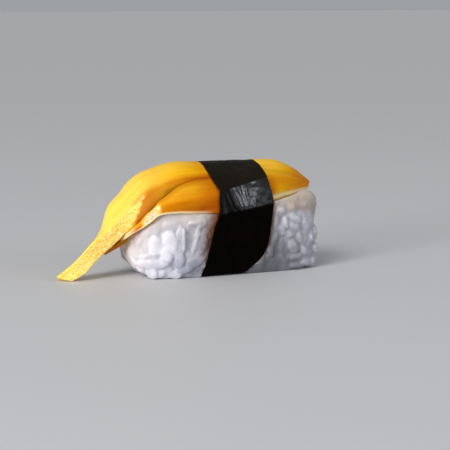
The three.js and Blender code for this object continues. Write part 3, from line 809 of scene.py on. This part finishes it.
def build_band(seaweed):
    """The strip: a fine sheet bent round the block, then given its thickness."""
    steps_round = 330
    steps_wide = 52
    bm = bmesh.new()
    bmesh.ops.create_grid(bm, x_segments=steps_round, y_segments=steps_wide, size=0.5)
    mesh = mesh_from(bm, "seaweed_strip")
    sheet = read_points(mesh)
    around = (sheet[:, 0] + 0.5) * (1 + 2 * BAND_LAP) - BAND_LAP
    side = sheet[:, 1] + 0.5
    points = band_points(around, side)
    inwards = band_inwards(around, side)
    edge_wave = rough_field(points * np.array([0, 1, 1]), 5.0, 6.6) * 0.22
    points[:, 0] += edge_wave * (np.abs(2 * side - 1) ** 3)
    lift = BAND_LIFT * ramp(around, BAND_LAP * 1.5, BAND_LAP)
    relief = band_wrinkles(around, side, points, seaweed)
    points = points + inwards * (lift + STRIP_INSET - relief)[:, None]
    points[:, 2] = np.maximum(points[:, 2], TABLE_GAP + lift)
    marks = band_marks(around, side, points)
    write_points(mesh, points * MM)

    bm = bmesh.new()
    bm.from_mesh(mesh)
    bmesh.ops.recalc_face_normals(bm, faces=bm.faces)
    middle = Vector((0.0, 0.0, AXIS_Z * MM))
    outward = sum(f.normal.dot(f.calc_center_median() - middle) > 0 for f in bm.faces)
    if outward < len(bm.faces) / 2:
        bmesh.ops.reverse_faces(bm, faces=bm.faces)
    for name, values in marks.items():
        layer = bm.verts.layers.float.new(name)
        for vertex, value in zip(bm.verts, values.tolist()):
            vertex[layer] = value
    bmesh.ops.solidify(bm, geom=bm.faces[:], thickness=seaweed.thickness)
    bm.to_mesh(mesh)
    bm.free()
    return mesh


# ---- Rice ------------------------------------------------------------------------------------------


def core_points(directions):
    """The points of the bare core's surface that lie in those directions from its middle."""
    x, y, z = directions.T
    ends = np.where(x < 0, *RICE_CORE["ends"])
    sides = np.where(z < 0, *RICE_CORE["sides"])
    girth = np.abs(y) ** sides + np.abs(z) ** sides
    scale = (np.abs(x) ** ends + girth ** (ends / sides)) ** (-1 / ends)
    half_length, half_width = RICE_CORE["half"]
    middle = RICE_CORE["middle"]
    start, end, fall = RICE_CORE["shoulder"]
    length = x * scale * half_length + middle[0]
    rise = RICE_CORE["rise"] * (1 - fall * ramp(length, start, end))
    height = np.where(z < 0, RICE_CORE["drop"], rise)
    return np.stack([length, y * scale * half_width, z * scale * height + middle[2]], 1)


def core_reach(points):
    """How far each point lies from the core's middle, as a share of the way to its surface."""
    away = np.abs(points - np.array(RICE_CORE["middle"]))
    below = points[:, 2] < RICE_CORE["middle"][2]
    half_length, half_width = RICE_CORE["half"]
    start, end, fall = RICE_CORE["shoulder"]
    rise = RICE_CORE["rise"] * (1 - fall * ramp(points[:, 0], start, end))
    ends = np.where(points[:, 0] < RICE_CORE["middle"][0], *RICE_CORE["ends"])
    sides = np.where(below, *RICE_CORE["sides"])
    height = away[:, 2] / np.where(below, RICE_CORE["drop"], rise)
    girth = (away[:, 1] / half_width) ** sides + height**sides
    return ((away[:, 0] / half_length) ** ends + girth ** (ends / sides)) ** (1 / ends)


def core_normals(directions):
    """The way the bare core's surface faces, in those directions from its middle."""
    step = 0.01
    side = unit(np.cross(UP, directions))
    other = np.cross(directions, side)
    a = core_points(unit(directions + side * step)) - core_points(unit(directions - side * step))
    b = core_points(unit(directions + other * step)) - core_points(unit(directions - other * step))
    normals = unit(np.cross(a, b))
    return normals * np.sign((normals * directions).sum(1))[:, None]


def depth_in_band(points):
    """How far each point lies in from the strip's nearer edge, in millimetres; less than 0 outside."""
    around = np.linspace(0, 1, 720, endpoint=False)
    tail = band_points(around, 0 * around)
    blunt = band_points(around, 0 * around + 1)
    angles = np.arctan2((tail[:, 1] + blunt[:, 1]) / 2, (tail[:, 2] + blunt[:, 2]) / 2 - AXIS_Z)
    order = np.argsort(angles)
    own = np.arctan2(points[:, 1], points[:, 2] - AXIS_Z)
    tail_x = np.interp(own, angles[order], tail[order, 0], period=2 * math.pi)
    blunt_x = np.interp(own, angles[order], blunt[order, 0], period=2 * math.pi)
    return np.minimum(points[:, 0] - tail_x, blunt_x - points[:, 0])


def press_under_band(points, clear):
    """Points that would come through the seaweed are pressed in until they lie that far under it."""
    rows, columns = 520, 18
    around, side = np.meshgrid(np.arange(rows) / rows, np.linspace(-0.12, 1.12, columns), indexing="ij")
    sheet = band_points(around.ravel(), side.ravel())
    quads = []
    for row in range(rows):
        this, following = row * columns, (row + 1) % rows * columns
        quads += [(this + c, this + c + 1, following + c + 1, following + c) for c in range(columns - 1)]
    tree = BVHTree.FromPolygons(sheet.tolist(), quads)
    depth = depth_in_band(points)
    moved = points.copy()
    for i in np.flatnonzero(depth > PRESS_EDGE[0]):
        x, y, z = points[i]
        radius = math.hypot(y, z - AXIS_Z)
        way = Vector((0, y / radius, (z - AXIS_Z) / radius))
        found, _, _, limit = tree.ray_cast(Vector((x, 0, AXIS_Z)), way)
        if found is None:
            continue
        lapped = way.z < -0.6  # under the block, where the strip's ends lie over each other
        limit -= STRIP_DEEP + clear + (BAND_LIFT if lapped else 0)
        if radius > limit:
            share = mix(radius, limit, float(ramp(depth[i], *PRESS_EDGE))) / radius
            moved[i, 1] = y * share
            moved[i, 2] = (z - AXIS_Z) * share + AXIS_Z
    return moved


def in_slices(point, trees, margin):
    """Whether a point lies inside a slice of mango, or within the margin of one."""
    for tree in trees:
        near, normal, _, gap = tree.find_nearest(point)
        if gap < margin or (point - near).dot(normal) < 0:
            return True
    return False


def below_foot(points, shape):
    """How far each point lies below a slice's lower edge, in millimetres."""
    foot = smooth_curve(shape["foot"], np.linspace(0, 1, 200))
    return np.interp(points[:, 0], foot[:, 0], foot[:, 2]) - points[:, 2]


def placed_grains():
    """The middle, direction, outward normal, size and brightness of each grain in the table."""
    kept = []
    half_length, half_width = RICE_CORE["half"]
    for first, last, width, proud, turned, bright in FRONT_GRAINS:
        first, last = np.array(first), np.array(last)
        away = (first + last) / 2 - np.array(RICE_CORE["middle"])
        away /= np.array([half_length, half_width, RICE_CORE["rise"] if away[2] > 0 else RICE_CORE["drop"]])
        direction = unit(away)[None]
        normal = core_normals(direction)[0]
        deep = min(width * 0.8, 2.6)  # flatter than it is wide
        middle = core_points(direction)[0] + normal * (proud - deep / 2)
        along = unit(last - first)
        along = unit(along - normal * (along @ normal) * 0.5)  # turned halfway to lie flat
        across = unit(np.cross(normal, along))
        normal = normal * math.cos(math.radians(turned)) + across * math.sin(math.radians(turned))
        size = (np.linalg.norm(last - first) + 0.6, width, deep)  # its rounded ends sink in a little
        kept.append((middle, along, normal, size, bright))
    return kept


def grain_places(rice, trees):
    """The middle, direction, outward normal, size and brightness of every grain that shows."""
    rng = np.random.default_rng(rice.seed)
    turns = np.arange(GRAIN_TRIES)
    z = 1 - (2 * turns + 1) / GRAIN_TRIES
    ring = np.sqrt(1 - z * z)
    spin = turns * math.pi * (3 - math.sqrt(5))
    directions = np.stack([ring * np.cos(spin), ring * np.sin(spin), z], 1)
    normals = core_normals(directions)
    surface = core_points(directions)
    spacing = rice.spacing / MM
    length, thick = rice.grain_length / MM, rice.grain_thickness / MM
    kept = placed_grains()
    places = np.array(
        [middle + along * size[0] * k for middle, along, _, size, _ in kept for k in (-0.25, 0, 0.25)]
    )
    placed = len(places)
    for i in rng.permutation(GRAIN_TRIES):
        # Every place draws the same numbers in the same order, whether a grain fits there or not.
        kind = BLUNT_GRAINS if surface[i][0] > BLUNT_FROM else LOOSE_GRAINS
        size = rng.uniform(*kind["size"])
        lean = rng.uniform(-kind["lean"], kind["lean"])
        bright = rng.uniform(0.25, 0.45)
        sunk = rng.uniform(*kind["sunk"])
        apart = spacing * kind["apart"]
        wander = unit(np.cross(rng.normal(size=3), normals[i]))
        along = unit(wander + normals[i] * lean)
        middle = surface[i] - normals[i] * sunk
        for _ in range(GRAIN_CHANCES):
            if middle[2] < thick * 0.42:
                break
            gaps = np.linalg.norm(places - middle, axis=1)
            if gaps.min() < apart or gaps[:placed].min() < apart * 1.1:
                break
            if middle[0] > BARE_FROM[0] and middle[2] > BARE_FROM[1]:
                break
            if depth_in_band(middle[None])[0] > GRAIN_BURIED:
                break
            ends = [middle + along * length * size * k for k in (-0.46, -0.25, 0, 0.25, 0.46)]
            probes = [p + normals[i] * thick * 0.3 * size for p in ends]
            if not any(in_slices(Vector(p) * MM, trees, 0.25 * MM) for p in [*ends, *probes]):
                full = (length * size, thick * size * 1.05, thick * size * 0.88)  # lies flat
                kept.append((middle.copy(), along, normals[i], full, bright))
                places = np.vstack([places, middle])
                break
            middle = middle - np.array([0, 0, GRAIN_STEP])
    return kept


def grain_marks(points, grains):
    """For each point, the tone of the grain that it lies on, with painted light and shade in it, and how
    near a crease it is (0 to 1), which sets the painted shade in the creases.
    """
    order = np.argsort(points[:, 0])
    sorted_x = points[order, 0]
    nearest = 1 + (core_reach(points) - 0.98) * 6  # the bare core counts as one more grain
    second = np.full(len(points), 9.0)
    # The bare core: painted light at the far tail end and low at the front, painted shade towards the
    # strip.
    tone_and_light = mix(1.0, 0.38, ramp(points[:, 0], -25.7, -24.2)) - 0.13 * ramp(points[:, 0], -20, -8)
    tone_and_light += 0.35 * ramp(points[:, 2], 5, 2) * ramp(points[:, 0], -16, -19)
    for middle, along, normal, size, bright in grains:
        reach = max(size) * 0.8
        first, last = np.searchsorted(sorted_x, (middle[0] - reach, middle[0] + reach))
        own = order[first:last]
        flat = unit(np.cross(normal, along))
        axes = np.stack([along, flat, np.cross(along, flat)], 1)
        near = np.linalg.norm((points[own] - middle) @ axes * 2 / np.array(size), axis=1)
        closer = near < nearest[own]
        second[own] = np.where(closer, nearest[own], np.minimum(second[own], near))
        nearest[own] = np.where(closer, near, nearest[own])
        tone_and_light[own] = np.where(closer, bright, tone_and_light[own])
    return tone_and_light, ramp(second - nearest, 0.16, 0.0)


def add_core(bm):
    """Adds the bare core, pressed in under the strip and swollen under the mango's tip."""
    bmesh.ops.create_uvsphere(bm, u_segments=96, v_segments=64, radius=1.0)
    bmesh.ops.rotate(bm, verts=bm.verts, cent=(0, 0, 0), matrix=Matrix.Rotation(math.pi / 2, 3, "Y"))
    directions = unit(np.array([v.co[:] for v in bm.verts]))
    core = press_under_band(core_points(directions), RICE_CLEAR)
    core -= core_normals(directions) * CORE_INSET
    where, reach, push = (np.array(row) for row in RICE_SWELL)
    core += push * np.exp(-(((core - where) / reach) ** 2).sum(1))[:, None]
    for vertex, place in zip(bm.verts, core):
        vertex.co = Vector(place) * MM


def add_grain(bm, middle, along, normal, size):
    """Adds one grain: a ball drawn out to its size, with a flatter top and underside."""
    flat = unit(np.cross(normal, along))
    out = np.cross(along, flat)
    turn = Matrix((along, flat, out)).transposed().to_4x4()
    scale = Matrix.Diagonal([value * MM for value in size] + [1])
    where = Matrix.Translation(Vector(middle) * MM) @ turn @ scale
    made = bmesh.ops.create_icosphere(bm, subdivisions=2, radius=0.5)
    roundness = GRAIN_ROUNDNESS[0] if middle[0] < 0 else GRAIN_ROUNDNESS[1]
    for vertex in made["verts"]:
        x, y, z = vertex.co.normalized()
        wider = max(math.hypot(x, y), 1e-6) ** (roundness - 1)
        height = math.copysign(abs(z) ** roundness, z)
        vertex.co = where @ (Vector((x * wider, y * wider, height)) / 2)


def fused_rice(rice, grains):
    """The core and the grains as one closed mesh of even cells, softened."""
    bm = bmesh.new()
    add_core(bm)
    for middle, along, normal, size, _ in grains:
        add_grain(bm, middle, along, normal, size)
    work = bpy.data.objects.new("rice_work", mesh_from(bm, "rice_grains"))
    bpy.context.scene.collection.objects.link(work)
    fuse = work.modifiers.new("fuse", "REMESH")
    fuse.mode = "VOXEL"
    fuse.voxel_size = rice.voxel
    mesh = bpy.data.meshes.new_from_object(work.evaluated_get(bpy.context.evaluated_depsgraph_get()))
    bpy.data.objects.remove(work)

    bm = bmesh.new()
    bm.from_mesh(mesh)
    softer = [v for v in bm.verts if v.co.x > SOFTER_FROM * MM]
    for part in [bm.verts] * rice.smoothing + [softer]:
        bmesh.ops.smooth_vert(
            bm, verts=part, factor=0.5, use_axis_x=True, use_axis_y=True, use_axis_z=True
        )
    bm.to_mesh(mesh)
    bm.free()
    return mesh


def stained_corner(points, drop):
    """1 on the smooth, stained rice under the mango's tip, and 0 elsewhere."""
    x, y, _ = points.T
    deep = mix(0.6, 5.0, ramp(x, 9, 20)) + 1.6 * rough_field(points, 4.0, 6.1, 2)
    return ramp(x, 8.5, 10.5) * ramp(drop - deep, 1.2, -0.8) * mix(0.3, 1.0, ramp(y, 1.0, -4.0))


def rice_bumps(points, corner):
    """How far the rice stands out of its fused shape, in millimetres."""
    x = points[:, 0]
    large = (pebble_field(points, 1.9, 3.3) - 0.45) * 0.20 * ramp(x, 8, 9.5) * (1 - corner)
    small = (pebble_field(points, 1.2, 5.1) - 0.45) * mix(0.28, 0.16, ramp(x, 0, 8)) * ramp(x, -11.5, -10)
    return large + small + rough_field(points, 1.4, 1.7, 3) * 0.10


def paint_rice_shade(points, corner):
    """Where the rice is darkened with painted shade: right of the strip towards the base, under the mango's
    tip, and just left of the strip.
    """
    x, _, z = points.T
    dim = ramp(x, 0, 2) * (ramp(z, 17, 3) * 0.62 + ramp(x, 13, 8.5) * 0.5)
    dim *= mix(1.1, 0.25, ramp(x, 15, 19.5))
    dim = dim * (1 - corner) + corner * 0.9 + ramp(x, 9, 11) * 0.12
    return dim + ramp(x, -17, -8) * ramp(x, 0, -1) * (0.25 + ramp(z, 7, 3) * 0.5)


def build_rice(rice, trees):
    """The rice: fused grains with a fine relief, a lip below the slices and room for the strip."""
    grains = grain_places(rice, trees)
    mesh = fused_rice(rice, grains)
    fused = read_points(mesh) / MM
    gap = np.empty(len(fused))  # to the nearest slice
    for i, p in enumerate(fused.tolist()):
        gap[i] = min(tree.find_nearest(Vector(p) * MM)[3] for tree in trees) / MM
    x, y, z = fused.T
    drop = np.where(y < 0, below_foot(fused, FRONT_SLICE), below_foot(fused, BACK_SLICE))
    corner = stained_corner(fused, drop)
    open_side = ramp(gap, 0.3, 1.5) * ramp(z, 0.2, 1.2)
    points = fused + read_normals(mesh) * (rice_bumps(fused, corner) * open_side)[:, None]
    lip = ramp(drop, -0.3, 0.1) * ramp(drop, 4.5, 0.8) * ramp(np.abs(points[:, 1]), 7, 10)
    points[:, 1] += LIP_OUT * lip * np.sign(points[:, 1])
    points[:, 2] += LIP_UP * lip * ramp(drop, 1.5, 0.3)
    points = press_under_band(points, RICE_CLEAR)
    inside = depth_in_band(points)
    points[:, 2] = np.maximum(points[:, 2], TABLE_GAP)
    covered = ramp(inside, 0.0, 0.6) * ramp(points[:, 2], 3.0, 1.5)
    points[:, 2] = np.maximum(points[:, 2], covered * LAP_HEIGHT)
    write_points(mesh, points * MM)

    tone_and_light, crease = grain_marks(points, grains)
    paint(mesh, "grain_tone", tone_and_light)
    paint(mesh, "crease", crease)
    paint(mesh, "dim", paint_rice_shade(fused, corner))
    reach = mix(3.2, 2.0, ramp(x, 9, 12)) * (1 + 0.35 * rough_field(points, 5.0, 2.2, 2))
    left_face = ramp(x, -21, -25) * 0.1
    stained = mix(0.7, 0.5, ramp(x, 9, 12)) * np.exp(-gap / reach) + left_face + corner * 0.45
    paint(mesh, "fruit_tint", np.clip(stained, 0, 1))
    width = mix(0.8, 4.2, ramp(z, 1, 9)) * np.where(x < 0, 1, 0.3)
    paint(mesh, "juice", ramp(-inside, width, -0.3) * mix(0.7, 1.0, ramp(z, 3, 12)))
    return mesh


# ---- Settings --------------------------------------------------------------------------------------


def colour_property(name, description, default):
    return FloatVectorProperty(
        name=name, description=description, default=default, subtype="COLOR", min=0.0, max=1.0
    )


def length_property(name, description, default):
    return FloatProperty(
        name=name, description=description, default=default, subtype="DISTANCE", unit="LENGTH", min=0.0
    )


class NigiriRice(bpy.types.PropertyGroup):
    grain_length: length_property("Grain Length", "Length of a cooked grain", 0.0066)
    grain_thickness: length_property("Grain Thickness", "Thickness of a cooked grain", 0.0030)
    spacing: length_property("Grain Spacing", "Least distance between two grains' middles", 0.0025)
    voxel: length_property("Fineness", "Size of the cells that fuse the grains", 0.00030)
    smoothing: IntProperty(name="Smoothing", description="Passes that soften the grains", default=2, min=0)
    seed: IntProperty(name="Seed", description="Changes how the grains lie", default=4)
    # The grain tone runs from the shade colour to the whitest. It carries painted light and painted shade
    # as well as the grains' own tone.
    colour: colour_property("Rice", "Whitest grains", (0.93, 0.91, 0.96))
    shade_colour: colour_property("Rice Shade", "Clearer, greyer grains", (0.37, 0.375, 0.445))
    # Painted shade: the colour that the shaded rice is darkened towards, not a wetter kind of rice.
    painted_shade_colour: colour_property("Rice Dim", "Wetter, clearer rice near the base", (0.15, 0.15, 0.17))
    # Painted shade: the colour the creases between two grains are darkened towards.
    crease_shade_colour: colour_property("Crease", "Between two grains", (0.16, 0.155, 0.17))
    tint_colour: colour_property("Fruit Tint", "Rice that the mango has stained", (0.76, 0.61, 0.49))
    juice_colour: colour_property("Juice", "Rice soaked along the seaweed's edge", (0.14, 0.038, 0.004))


class NigiriMango(bpy.types.PropertyGroup):
    spacing: length_property("Fineness", "Size of the surface's grid", 0.00030)
    corner: length_property("Edge Rounding", "Radius of a slice's edges", 0.00050)
    grit: length_property("Cut Roughness", "Depth of the grain on a cut face", 0.00016)
    swell: length_property("Swell", "Height of the slow unevenness", 0.00010)
    # Pale flesh, whitened to give a painted sheen where the light falls on the tail and tops.
    lemon_and_sheen: colour_property("Lemon", "Pale flesh at the tail", (0.95, 0.68, 0.12))
    yellow: colour_property("Yellow", "Ripe flesh", (0.84, 0.45, 0.004))
    # Partly painted shade: the cut sides are deeper orange, and also darker where the light falls on them
    # less.
    orange_and_shade: colour_property("Orange", "Deeper flesh on the sides", (0.70, 0.255, 0.002))
    # Painted shade: the colour of the flesh where it lies in shade beside the seaweed and under the slices.
    shade_amber: colour_property("Amber", "Darkest flesh, beside the seaweed", (0.46, 0.11, 0.001))
    cut_pale: colour_property("Cut Pale", "Pale fibres of a cut face", (1.0, 0.80, 0.31))
    cut_dark: colour_property("Cut Dark", "Flesh between the cut fibres", (0.92, 0.53, 0.03))
    flush_pale: colour_property("Flush Pale", "Pale fibres of the front slice's cut", (0.93, 0.71, 0.57))
    flush_dark: colour_property("Flush Dark", "Flesh between those fibres", (0.84, 0.38, 0.10))
    # Painted light: the glow of the thin lower edge beside the rice.
    rim: colour_property("Rim", "Thin pale edge beside the rice", (1.0, 0.75, 0.42))


class NigiriSeaweed(bpy.types.PropertyGroup):
    thickness: length_property("Thickness", "Thickness of the strip", 0.00034)
    wrinkle: FloatProperty(name="Wrinkling", description="How crumpled it is", default=1.0, min=0.0)
    colour: colour_property("Seaweed", "Main colour", (0.0010, 0.0010, 0.0009))
    brown: colour_property("Brown", "Brown flecks", (0.0026, 0.0013, 0.0008))
    olive: colour_property("Olive", "Brown and olive top", (0.0100, 0.0066, 0.0022))


class NigiriStage(bpy.types.PropertyGroup):
    floor_colour: colour_property("Floor", "Colour of the floor", (0.58, 0.58, 0.59))
    floor_pale: colour_property("Floor Mottle", "Paler patches of the floor", (0.7, 0.7, 0.7))
    key_power: FloatProperty(name="Key Light", description="Power of the main light", default=1.45)
    fill_power: FloatProperty(name="Fill Light", description="Power of the front light", default=0.6)
    side_power: FloatProperty(name="Side Light", description="Power of the low side light", default=2.3)
    surround: FloatProperty(name="Surround", description="Strength of the light all round", default=0.36)


class NigiriSettings(bpy.types.PropertyGroup):
    rice: PointerProperty(type=NigiriRice)
    mango: PointerProperty(type=NigiriMango)
    seaweed: PointerProperty(type=NigiriSeaweed)
    stage: PointerProperty(type=NigiriStage)


# ---- Stage -----------------------------------------------------------------------------------------

# The stage is set out in metres. The lights face the target, and the camera looks as the photo does.
TARGET = Vector((-0.006, 0.0, 0.014))
FLOOR_HALF = 6.0
SURROUND_COLOUR = (0.93, 0.96, 1.0, 1)
CAMERA_PLACE = (-0.1737, -0.3762, 0.0694)
CAMERA_TURN = (-25, 8)  # degrees round the part from the front, and degrees up
CAMERA_LENS = 131.2  # in millimetres, on a sensor 36 mm wide

# Each light's kind, the setting that holds its power, its place, its size and its colour. A sun's
# size is an angle in radians.
LIGHTS = {
    "key": ("SUN", "key_power", (-0.62, -0.40, 0.68), 0.5, (1.0, 0.985, 0.96)),
    "fill": ("AREA", "fill_power", (0.36, -0.45, 0.25), 0.25, (0.88, 0.93, 1.0)),
    "side": ("AREA", "side_power", (-0.55, -0.26, 0.12), 0.20, (0.97, 0.98, 1.0)),
}


def place_on_stage(name, data, place, facing):
    """A light or a camera at that place, looking along the direction."""
    thing = bpy.data.objects.new(name, data)
    thing.location = place
    thing.rotation_mode = "QUATERNION"
    thing.rotation_quaternion = facing.to_track_quat("-Z", "Y")
    bpy.context.scene.collection.objects.link(thing)
    return thing


def add_floor(stage):
    """The floor that the nigiri stands on."""
    bm = bmesh.new()
    bmesh.ops.create_grid(bm, x_segments=1, y_segments=1, size=FLOOR_HALF)
    mesh = mesh_from(bm, "floor")
    mesh.materials.append(stage_finish(stage))
    floor = bpy.data.objects.new("floor", mesh)
    bpy.context.scene.collection.objects.link(floor)


def add_surround(stage):
    """The even light from all round."""
    world = bpy.data.worlds.new("soft surround")
    world.use_nodes = True
    light = world.node_tree.nodes["Background"].inputs
    light["Color"].default_value = SURROUND_COLOUR
    light["Strength"].default_value = stage.surround
    bpy.context.scene.world = world


def add_lights(stage):
    """The lights that LIGHTS lists."""
    for name, (kind, power, place, size, colour) in LIGHTS.items():
        light = bpy.data.lights.new(name, kind)
        if kind == "SUN":
            light.angle = size
        else:
            light.shape = "DISK"
            light.size = size
        light.energy = getattr(stage, power)
        light.color = colour
        place_on_stage(name, light, place, TARGET - Vector(place))


def add_camera():
    """The camera, from where the photo was taken."""
    turn, up = (math.radians(angle) for angle in CAMERA_TURN)
    back = Vector((math.sin(turn) * math.cos(up), -math.cos(turn) * math.cos(up), math.sin(up)))
    lens = bpy.data.cameras.new("camera")
    lens.sensor_width = 36
    lens.lens = CAMERA_LENS
    lens.clip_start = 0.01
    scene = bpy.context.scene
    scene.camera = place_on_stage("camera", lens, CAMERA_PLACE, -back)
    scene.view_settings.view_transform = "Standard"


# ---- Operators -------------------------------------------------------------------------------------

# Each slice's piece: its shape, the length, width and thickness of its block in millimetres, its
# colours, whether it is mirrored to the back, the node it replaces, and its seed.
SLICES = {
    "top_slice": (TOP_SLICE, (84, 13.5, 4.2), top_marks, False, "mango_slice_top", 1.0),
    "front_slice": (FRONT_SLICE, (58, 11, 4.4), front_marks, False, "mango_slice_front", 2.0),
    "back_slice": (BACK_SLICE, (61, 12, 4.2), back_marks, True, "mango_slice_back", 3.0),
}


class NIGIRI_OT_add_mango(bpy.types.Operator):
    """Add the three overlapping slices of mango"""

    bl_idname = "nigiri.add_mango"
    bl_label = "Add Mango Slices"

    def execute(self, context):
        settings = context.scene.nigiri.mango
        finish = mango_finish(settings)
        for name, (shape, size, marks, mirrored, node, seed) in SLICES.items():
            mesh = build_slice(name, shape, size, settings, marks, mirrored, seed)
            add_piece(name, mesh, node, finish)
        return {"FINISHED"}


class NIGIRI_OT_add_rice(bpy.types.Operator):
    """Add the pressed block of rice, with its grains fitted round the mango and the seaweed"""

    bl_idname = "nigiri.add_rice"
    bl_label = "Add Rice"

    def execute(self, context):
        trees = []
        for name in SLICES:
            if name not in bpy.data.objects:
                raise RuntimeError("Add the mango slices first: the rice is fitted to them")
            mesh = bpy.data.objects[name].data
            faces = [tuple(p.vertices) for p in mesh.polygons]
            trees.append(BVHTree.FromPolygons([v.co for v in mesh.vertices], faces))
        settings = context.scene.nigiri.rice
        mesh = build_rice(settings, trees)
        add_piece("rice_grains", mesh, "rice_block", rice_finish(settings))
        return {"FINISHED"}


class NIGIRI_OT_add_seaweed(bpy.types.Operator):
    """Add the strip of seaweed wrapped round the middle"""

    bl_idname = "nigiri.add_seaweed"
    bl_label = "Add Seaweed Strip"

    def execute(self, context):
        settings = context.scene.nigiri.seaweed
        mesh = build_band(settings)
        add_piece("seaweed_strip", mesh, "seaweed_band", seaweed_finish(settings))
        return {"FINISHED"}


class NIGIRI_OT_add_stage(bpy.types.Operator):
    """Add the plain floor, the soft lights and the camera"""

    bl_idname = "nigiri.add_stage"
    bl_label = "Add Stage"

    def execute(self, context):
        stage = context.scene.nigiri.stage
        add_floor(stage)
        add_surround(stage)
        add_lights(stage)
        add_camera()
        return {"FINISHED"}


class NIGIRI_PT_panel(bpy.types.Panel):
    """Settings and buttons for the mango nigiri"""

    bl_label = "Mango Nigiri"
    bl_idname = "NIGIRI_PT_panel"
    bl_space_type = "VIEW_3D"
    bl_region_type = "UI"
    bl_category = "Nigiri"

    def draw(self, context):
        settings = context.scene.nigiri
        for group, operator in (
            (settings.mango, NIGIRI_OT_add_mango),
            (settings.rice, NIGIRI_OT_add_rice),
            (settings.seaweed, NIGIRI_OT_add_seaweed),
            (settings.stage, NIGIRI_OT_add_stage),
        ):
            box = self.layout.box()
            for key in group.__annotations__:
                box.prop(group, key)
            box.operator(operator.bl_idname)


CLASSES = (
    NigiriRice,
    NigiriMango,
    NigiriSeaweed,
    NigiriStage,
    NigiriSettings,
    NIGIRI_OT_add_mango,
    NIGIRI_OT_add_rice,
    NIGIRI_OT_add_seaweed,
    NIGIRI_OT_add_stage,
    NIGIRI_PT_panel,
)


def register():
    for cls in CLASSES:
        bpy.utils.register_class(cls)
    bpy.types.Scene.nigiri = PointerProperty(type=NigiriSettings)


def unregister():
    del bpy.types.Scene.nigiri
    for cls in reversed(CLASSES):
        bpy.utils.unregister_class(cls)


def main():
    register()
    bpy.ops.nigiri.add_mango()
    bpy.ops.nigiri.add_rice()
    bpy.ops.nigiri.add_seaweed()
    bpy.ops.nigiri.add_stage()


if __name__ == "__main__":
    main()
